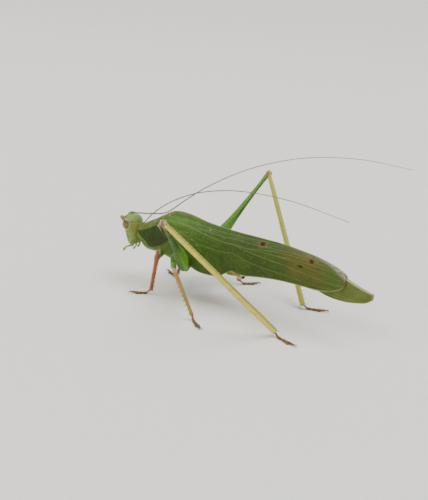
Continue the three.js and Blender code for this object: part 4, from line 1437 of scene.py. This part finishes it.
legs = {
    "front": {
        "root": (-11.9, -1.2, 8.6),
        "hip": (-12.0, -2.5, 7.3),
        "knee": (-8.8, -7.9, 10.7),
        "ankle": (-11.9, -5.0, 1.15),
        "toe": (-15.3, -6.9),
        "coxa": [[0, 0.9, 0.8], [0.3, 0.95, 0.82], [0.6, 0.85, 0.75], [1, 0.55, 0.55]],
        "femur": [[0, 0.36, 0.36], [0.12, 0.52, 0.44], [0.4, 0.56, 0.46], [0.8, 0.42, 0.38], [1, 0.44, 0.4]],
        "tibia": [[0, 0.34, 0.34], [0.05, 0.4, 0.4], [0.1, 0.45, 0.48], [0.18, 0.46, 0.5],
                  [0.27, 0.42, 0.43], [0.4, 0.38, 0.39], [0.8, 0.36, 0.37], [1, 0.38, 0.38]],
        # spines as rows: angle from the top in degrees, count, first and last share, length
        "femurSpines": [(165, 5, 0.45, 0.9, 0.22), (195, 5, 0.45, 0.9, 0.22)],
        "tibiaSpines": [(150, 7, 0.28, 0.97, 0.5), (210, 7, 0.28, 0.97, 0.5)],
        "finishes": ("hipCuticle", "frontLegCuticle", "frontLegCuticle", "footCuticle"),
        "slots": ("body_green", "reddish", "reddish", "reddish"),
        # rings and sides of the thigh and of the shin, half sizes of the joint at the hip, length of a spur
        "femurSteps": (70, 32),
        "tibiaSteps": (80, 32),
        "knuckle": (0.5, 0.46, 0.5),
        "spur": 0.42,
    },
    "middle": {
        "root": (-8.7, -1.4, 8.2),
        "hip": (-8.3, -2.9, 6.7),
        "knee": (-3.5, -10.5, 9.15),
        "ankle": (0.3, -9.9, 1.15),
        "toe": (3.6, -12.5),
        "coxa": [[0, 0.95, 0.85], [0.3, 1.0, 0.87], [0.6, 0.9, 0.8], [1, 0.57, 0.57]],
        "femur": [[0, 0.4, 0.42], [0.1, 0.58, 0.56], [0.4, 0.64, 0.58], [0.8, 0.44, 0.42], [1, 0.46, 0.42]],
        "tibia": [[0, 0.34, 0.33], [0.08, 0.42, 0.4], [0.2, 0.4, 0.39], [0.5, 0.33, 0.33], [0.8, 0.3, 0.31],
                  [1, 0.34, 0.34]],
        "femurSpines": [(165, 6, 0.4, 0.9, 0.22), (195, 6, 0.4, 0.9, 0.22)],
        "tibiaSpines": [(150, 8, 0.25, 0.97, 0.45), (210, 8, 0.25, 0.97, 0.45), (30, 4, 0.3, 0.8, 0.35)],
        "finishes": ("hipCuticle", "middleThighCuticle", "middleShinCuticle", "footCuticle"),
        "slots": ("leaf_green", "body_green", "tan", "tan"),
        "femurSteps": (70, 32),
        "tibiaSteps": (80, 32),
        "knuckle": (0.5, 0.46, 0.5),
        "spur": 0.42,
    },
    "hind": {
        "root": (-5.6, -1.4, 8.0),
        "hip": (-5.2, -3.2, 6.7),
        "knee": (0.1, -20.8, 21.9),
        "ankle": (15.7, -6.9, 1.15),
        "toe": (20.3, -8.4),
        "coxa": [[0, 1.05, 0.95], [0.3, 1.1, 0.98], [0.6, 1.0, 0.9], [1, 0.62, 0.62]],
        "femur": [[0, 0.42, 0.42], [0.03, 0.72, 0.54], [0.07, 1.12, 0.72], [0.13, 1.52, 0.9],
                  [0.2, 1.64, 0.97], [0.3, 1.46, 0.9], [0.42, 1.05, 0.7], [0.55, 0.74, 0.57],
                  [0.7, 0.53, 0.47], [0.86, 0.43, 0.42], [0.94, 0.48, 0.44], [1, 0.58, 0.48]],
        "tibia": [[0, 0.36, 0.34], [0.02, 0.44, 0.42], [0.05, 0.4, 0.4], [0.1, 0.46, 0.44], [0.3, 0.5, 0.48],
                  [0.8, 0.54, 0.5], [0.97, 0.55, 0.52], [1, 0.5, 0.5]],
        "femurSpines": [(168, 9, 0.5, 0.93, 0.2), (192, 9, 0.5, 0.93, 0.2)],
        "tibiaSpines": [(38, 30, 0.1, 0.97, 0.36), (322, 30, 0.1, 0.97, 0.36), (150, 14, 0.2, 0.96, 0.26),
                        (210, 14, 0.2, 0.96, 0.26)],
        "finishes": ("hipCuticle", "hindThighCuticle", "hindShinCuticle", "footCuticle"),
        "slots": ("leaf_green", "body_green", "pale_yellow", "tan"),
        "femurSteps": (120, 48),
        "tibiaSteps": (140, 32),
        "knuckle": (0.62, 0.56, 0.6),
        "spur": 0.75,
    },
}


for leg in legs.values():
    leg.update({joint: np.array(leg[joint], float) for joint in ("root", "hip", "knee", "ankle")})


def limbFrame(start, end):
    # directions along a limb, across it and up from it
    along = unit(end - start)
    side = unit(np.cross(along, (0, 0, 1)))
    return along, side, np.cross(side, along)


def limbPart(start, end, table, count, sides, squareness=1.0):
    # one length of a leg between two joints, from rows of [share, half depth, half width]
    along, side, up = limbFrame(start, end)
    share, deep, wide = rowsAt(table, np.linspace(0, 1, count)).T
    centre = start + (end - start) * share[:, None]
    # its far end is rounded
    angles = np.radians([20, 40, 60, 78])
    centre = np.vstack([centre, end + along * (deep[-1] * np.sin(angles))[:, None]])
    deep = np.concatenate([deep, deep[-1] * np.cos(angles)])
    wide = np.concatenate([wide, wide[-1] * np.cos(angles)])
    share = np.concatenate([share, [1] * 4])
    turn = ovalTurn(sides, squareness)
    rings = ovalsAlong(centre, side, up, wide, deep, turn)
    fore, top = ((v[None] + 1) / 2 + 0 * share[:, None] for v in turn)
    return ringsPart(rings[:, ::-1], along=share[:, None], top=top[:, ::-1], fore=fore[:, ::-1])


def limbSpines(start, end, table, rows, lean=0.55):
    # rows of thorns that slant towards the far joint
    along, side, up = limbFrame(start, end)
    shares, depths, widths = np.array(table, float).T
    thorns = []
    for angle, count, first, last, length in rows:
        high, broad = up * math.cos(math.radians(angle)), side * math.sin(math.radians(angle))
        outward = high + broad
        for f in np.linspace(first, last, count):
            deep, wide = np.interp(f, shares, depths), np.interp(f, shares, widths)
            base = start + (end - start) * f + (high * deep + broad * wide) * 0.9
            size = length * (0.85 + 0.3 * f)
            bend = along * size * 0.12
            thorns.append(spinePart(base, outward + along * lean, size, 0.1 * size + 0.035, bend))
    return thorns


def kneeLobes(leg):
    # the thigh ends in two flaps that hold the shin's head between them
    along, side, up = limbFrame(leg["hip"], leg["knee"])
    deep, wide = leg["femur"][-1][1:3]
    lobes = []
    for s in (-1, 1):
        centre = leg["knee"] - along * 0.05 * deep + side * (s * wide * 0.8) - up * 0.1 * deep
        radii = (1.25 * deep, 0.34 * wide, 0.92 * deep)
        lobes.append(ellipsoidPart(centre, radii, 20, 28, (along, -side, up), lobe=1.0, along=0.9))
    return lobes


def shinHead(leg):
    # the rounded head of the shin, seen between the flaps
    along, side, up = limbFrame(leg["hip"], leg["knee"])
    deep = leg["femur"][-1][1]
    centre = leg["knee"] + along * 0.35 * deep
    radii = (0.9 * deep, 0.62 * deep, 0.85 * deep)
    return ellipsoidPart(centre, radii, 18, 24, (along, -side, up), head=1.0)


tarsus = {
    # each pad: first and last share of the foot, half width, half height, lobing
    "pads": [(0.0, 0.40, 0.30, 0.27, 0.0), (0.38, 0.56, 0.36, 0.26, 0.0), (0.53, 0.74, 0.50, 0.24, 0.55),
             (0.60, 0.97, 0.20, 0.20, 0.0)],
    "claw": 0.75,
    "clawRadius": 0.085,
    "clawPoint": 0.014,
    "spread": 0.32,  # of a claw to its side
    "spurRadius": 0.09,
}


def footPart(leg):
    ankle = leg["ankle"]
    toe = np.array([*leg["toe"], 0.0])
    flat = unit((toe - ankle) * [1, 1, 0])
    side = np.array([-flat[1], flat[0], 0.0])
    turn = ovalTurn(24)
    parts = []
    for first, last, wide, high, lobing in tarsus["pads"]:
        f = np.linspace(0, 1, 20)
        share = first + (last - first) * f
        slope = 1 - smoothStep(0, 0.26, share)
        rise = 0.16 * smoothStep(0.6, 0.85, share) if first > 0.55 else 0
        z = high - 0.04 + slope * (ankle[2] - high - 0.1) + rise
        centre = ankle + (toe - ankle) * share[:, None]
        centre[:, 2] = z
        swell = 0.62 + 0.38 * smoothStep(0.0, 0.8, f)
        swell = swell * np.sqrt(np.clip(1 - np.clip((f - 0.86) / 0.16, 0, 1) ** 2, 0.05, 1))
        rings = ovalsAlong(centre, side, (0, 0, 1), wide * swell, high * swell, turn)
        if lobing:
            # a notch between two soft lobes
            push = lobing * wide * smoothStep(0.55, 1.0, f)[:, None] * np.abs(turn[0])[None]
            rings = rings + flat * push[..., None]
        rings[..., 2] = np.maximum(rings[..., 2], 0.0)
        parts.append(ringsPart(rings, along=share[:, None]))
    tip = ankle + (toe - ankle) * 0.955
    tip[2] = 0.33
    f = np.linspace(0, 1, 12)
    for s in (-1, 1):
        path = tip + (flat * tarsus["claw"] + side * (s * tarsus["spread"])) * np.sin(f * 1.5)[:, None]
        path[:, 2] = 0.36 + 0.1 * np.sin(f * 2.6) - 0.32 * f**2
        radii = tarsus["clawRadius"] * (1 - f) + tarsus["clawPoint"]
        parts.append(tubePart(path, radii, sides=10, tip=domed(0.25 + 0.75 * f)))
    return joined(parts)


# colours of the legs: the ground and its patches, freckles and how strong they are, the upper and the under
# edge, bands of painted light and shade, the lower end, the knee, its flaps and their blotches, and the
# points of the thorns
legDyes = {
    "frontLegCuticle": {
        "first": "9e6c50", "patch": "935c40", "freckle": "6e4430", "freckling": 0.3, "upper": "9c6e54",
        "under": "8a4a26", "knee": "8e5a3e", "flap": "84553c", "blotch": "bc9a86", "thorn": "3c1c12",
    },
    "middleThighCuticle": {
        "first": "437016", "patch": "508020", "freckle": "2f4a10", "freckling": 0.3, "upper": "608634",
        "under": "3f5a1a", "knee": "a58a74", "flap": "a88e7c", "blotch": "d2c0b2", "thorn": "301e0c",
    },
    "middleShinCuticle": {
        "first": "a87c3e", "patch": "b08644", "freckle": "6a4a22", "freckling": 0.35, "upper": "9c7c40",
        "under": "6a4620", "lower": "8a8046", "flap": "a88e7c", "blotch": "d2c0b2", "thorn": "301e0c",
    },
    # freckled towards the knee only, with a paler inner face
    "hindThighCuticle": {
        "first": "386a06", "patch": "447a0c", "inner": "6a9a30", "freckle": "c9c88c", "upper": "52822a",
        "under": "35580e", "lower": "2a4a04", "knee": "846a44", "flap": "7d5a40", "blotch": "d4c6ba",
        "thorn": "402e14",
    },
    "hindShinCuticle": {
        "first": "d8c956", "patch": "ccbd46", "freckle": "94803a", "freckling": 0.35, "upper": "8a9238",
        "under": "6a5020", "flap": "9a7a4c", "blotch": "cfc0a4", "thorn": "4c3814",
    },
    "footCuticle": {
        "first": "7c6432", "patch": "6c5a2e", "freckle": "4c3a1c", "freckling": 0.4, "upper": "6c5a2e",
        "under": "5a4420", "flap": "7c5e2e", "blotch": "7c5e2e", "thorn": "20140a",
    },
}


def legLook(dye):
    # leg cuticle: hard and waxed, browner at the knee, thorns dark at the point; its freckles are drawn
    # coarser than life, so that they show
    thick = "inner" in dye
    if thick:
        freckles = (("cells", 0.26), (0.26, 0.16), ("mark", "along"), (0.25, 0.65, 0.0, 0.75))
    else:
        freckles = (("cells", 0.26), (0.44, 0.16, 0.0, dye["freckling"]))
    blotched = (dye["flap"], [(("grain", 0.45, 1.0), (0.42, 0.55), dye["blotch"])])
    layers = [
        (("grain", 1.2), (0.35, 0.65), dye["patch"]),
        (("mark", "fore"), (0.62, 0.35, 0.0, 0.75), dye.get("inner")),
        (("mark", "along"), (0.25, 0.6), dye.get("lower")),
        # painted light and shade: the upper band is a painted highlight on the thighs and painted shade on
        # the hind shin; the darker under band is painted shade
        (("mark", "top"), (0.6, 0.8, 0.0, 0.85), dye["upper"]),
        (("mark", "top"), (0.16, 0.04, 0.0, 0.7), dye["under"]),
        (*freckles, dye["freckle"]),
        (("mark", "along"), (0.9, 0.98, 0.0, 0.85), dye.get("knee")),
        (("mark", "lobe"), None, blotched),
        (("mark", "head"), None, dye["flap"]),
        (("mark", "tip"), (0.25, 0.8), dye["thorn"]),
    ]
    return {
        "first": dye["first"],
        "layers": [layer for layer in layers if layer[-1]],
        "bumps": [(("cells", 0.12), None, 0.013)],
        "roughness": (("grain", 0.7), (0.3, 0.7, 0.34, 0.5)),
        "shader": {"IOR": 1.53, "Specular IOR Level": 0.14 if thick else 0.25, "Subsurface Weight": 0.08,
                   "Subsurface Radius": (0.0005, 0.0006, 0.0003)},
    }


def addLegs():
    looks = {"hipCuticle": cuticleLook("4f6a22", "617c30", "36481a", 0.4, 0.42)}
    looks.update({name: legLook(dye) for name, dye in legDyes.items()})
    finishes = {name: makeMaterial(name, look) for name, look in looks.items()}
    for name, leg in legs.items():
        joints = leg["hip"], leg["knee"], leg["ankle"]
        along = limbFrame(*joints[:2])[0]
        coxa = [limbPart(leg["root"], leg["hip"], leg["coxa"], 24, 40)]
        coxa.append(ellipsoidPart(leg["hip"] + along * 0.1, leg["knuckle"]))
        femur = [limbPart(*joints[:2], leg["femur"], *leg["femurSteps"], 0.92)]
        femur += kneeLobes(leg)
        femur += limbSpines(*joints[:2], leg["femur"], leg["femurSpines"])
        tibia = [limbPart(*joints[1:], leg["tibia"], *leg["tibiaSteps"], 0.88), shinHead(leg)]
        tibia += limbSpines(*joints[1:], leg["tibia"], leg["tibiaSpines"])
        tibia += ankleSpurs(leg)
        if name == "front":
            tibia += earParts(leg)
        parts = (joined(coxa), joined(femur), joined(tibia), footPart(leg))
        lengths = zip(("coxa", "femur", "tibia", "tarsus"), parts, leg["finishes"], leg["slots"])
        addPairs(*(
            (length + name.capitalize(), part, finishes[finish], slot, [f"{length}_{name}"])
            for length, part, finish, slot in lengths
        ))


def ankleSpurs(leg):
    along, side, up = limbFrame(leg["knee"], leg["ankle"])
    deep, wide = leg["tibia"][-1][1:3]
    spurs = []
    # the lower two are shorter
    for angle, share in ((40, 1.0), (140, 0.7), (220, 0.7), (320, 1.0)):
        high, broad = up * math.cos(math.radians(angle)), side * math.sin(math.radians(angle))
        base = leg["ankle"] + (high * deep + broad * wide) * 0.8
        outward = (high + broad) * 0.8 + along
        spurs.append(spinePart(base, outward, leg["spur"] * share, tarsus["spurRadius"], along * 0.05))
    return spurs


# the hearing slits below the front knee: where they are, as a share of the shin, and their half sizes
ear = {
    "place": 0.14,
    "halfLength": 0.62,
    "halfHeight": 0.2,
    "rimRadius": 0.05,
    "rimOut": 0.45,  # from the middle of the shin
    "slit": (0.1, 0.1, 0.1),
    "slitOut": 0.4,
}


def earParts(leg):
    # a raised oval rim on each face of the shin
    along, side, up = limbFrame(leg["knee"], leg["ankle"])
    place = ear["place"]
    centre = leg["knee"] + (leg["ankle"] - leg["knee"]) * place
    turn = np.linspace(0, 2 * math.pi, 29)[:, None]
    oval = centre + along * (ear["halfLength"] * np.cos(turn)) + up * (ear["halfHeight"] * np.sin(turn))
    rims = []
    for s in (-1, 1):
        path = oval + side * (s * ear["rimOut"])
        rims.append(tubePart(path, ear["rimRadius"], sides=8, dome=(False, False), along=place))
        rims.append(ellipsoidPart(centre + side * (s * ear["slitOut"]), ear["slit"], 8, 12, along=place))
    return rims


addTrunk()
addTail()
print("trunk and tail end are made")
addForeWings()
addHindWings()
print("wings are made")
addLegs()
print("legs are made")
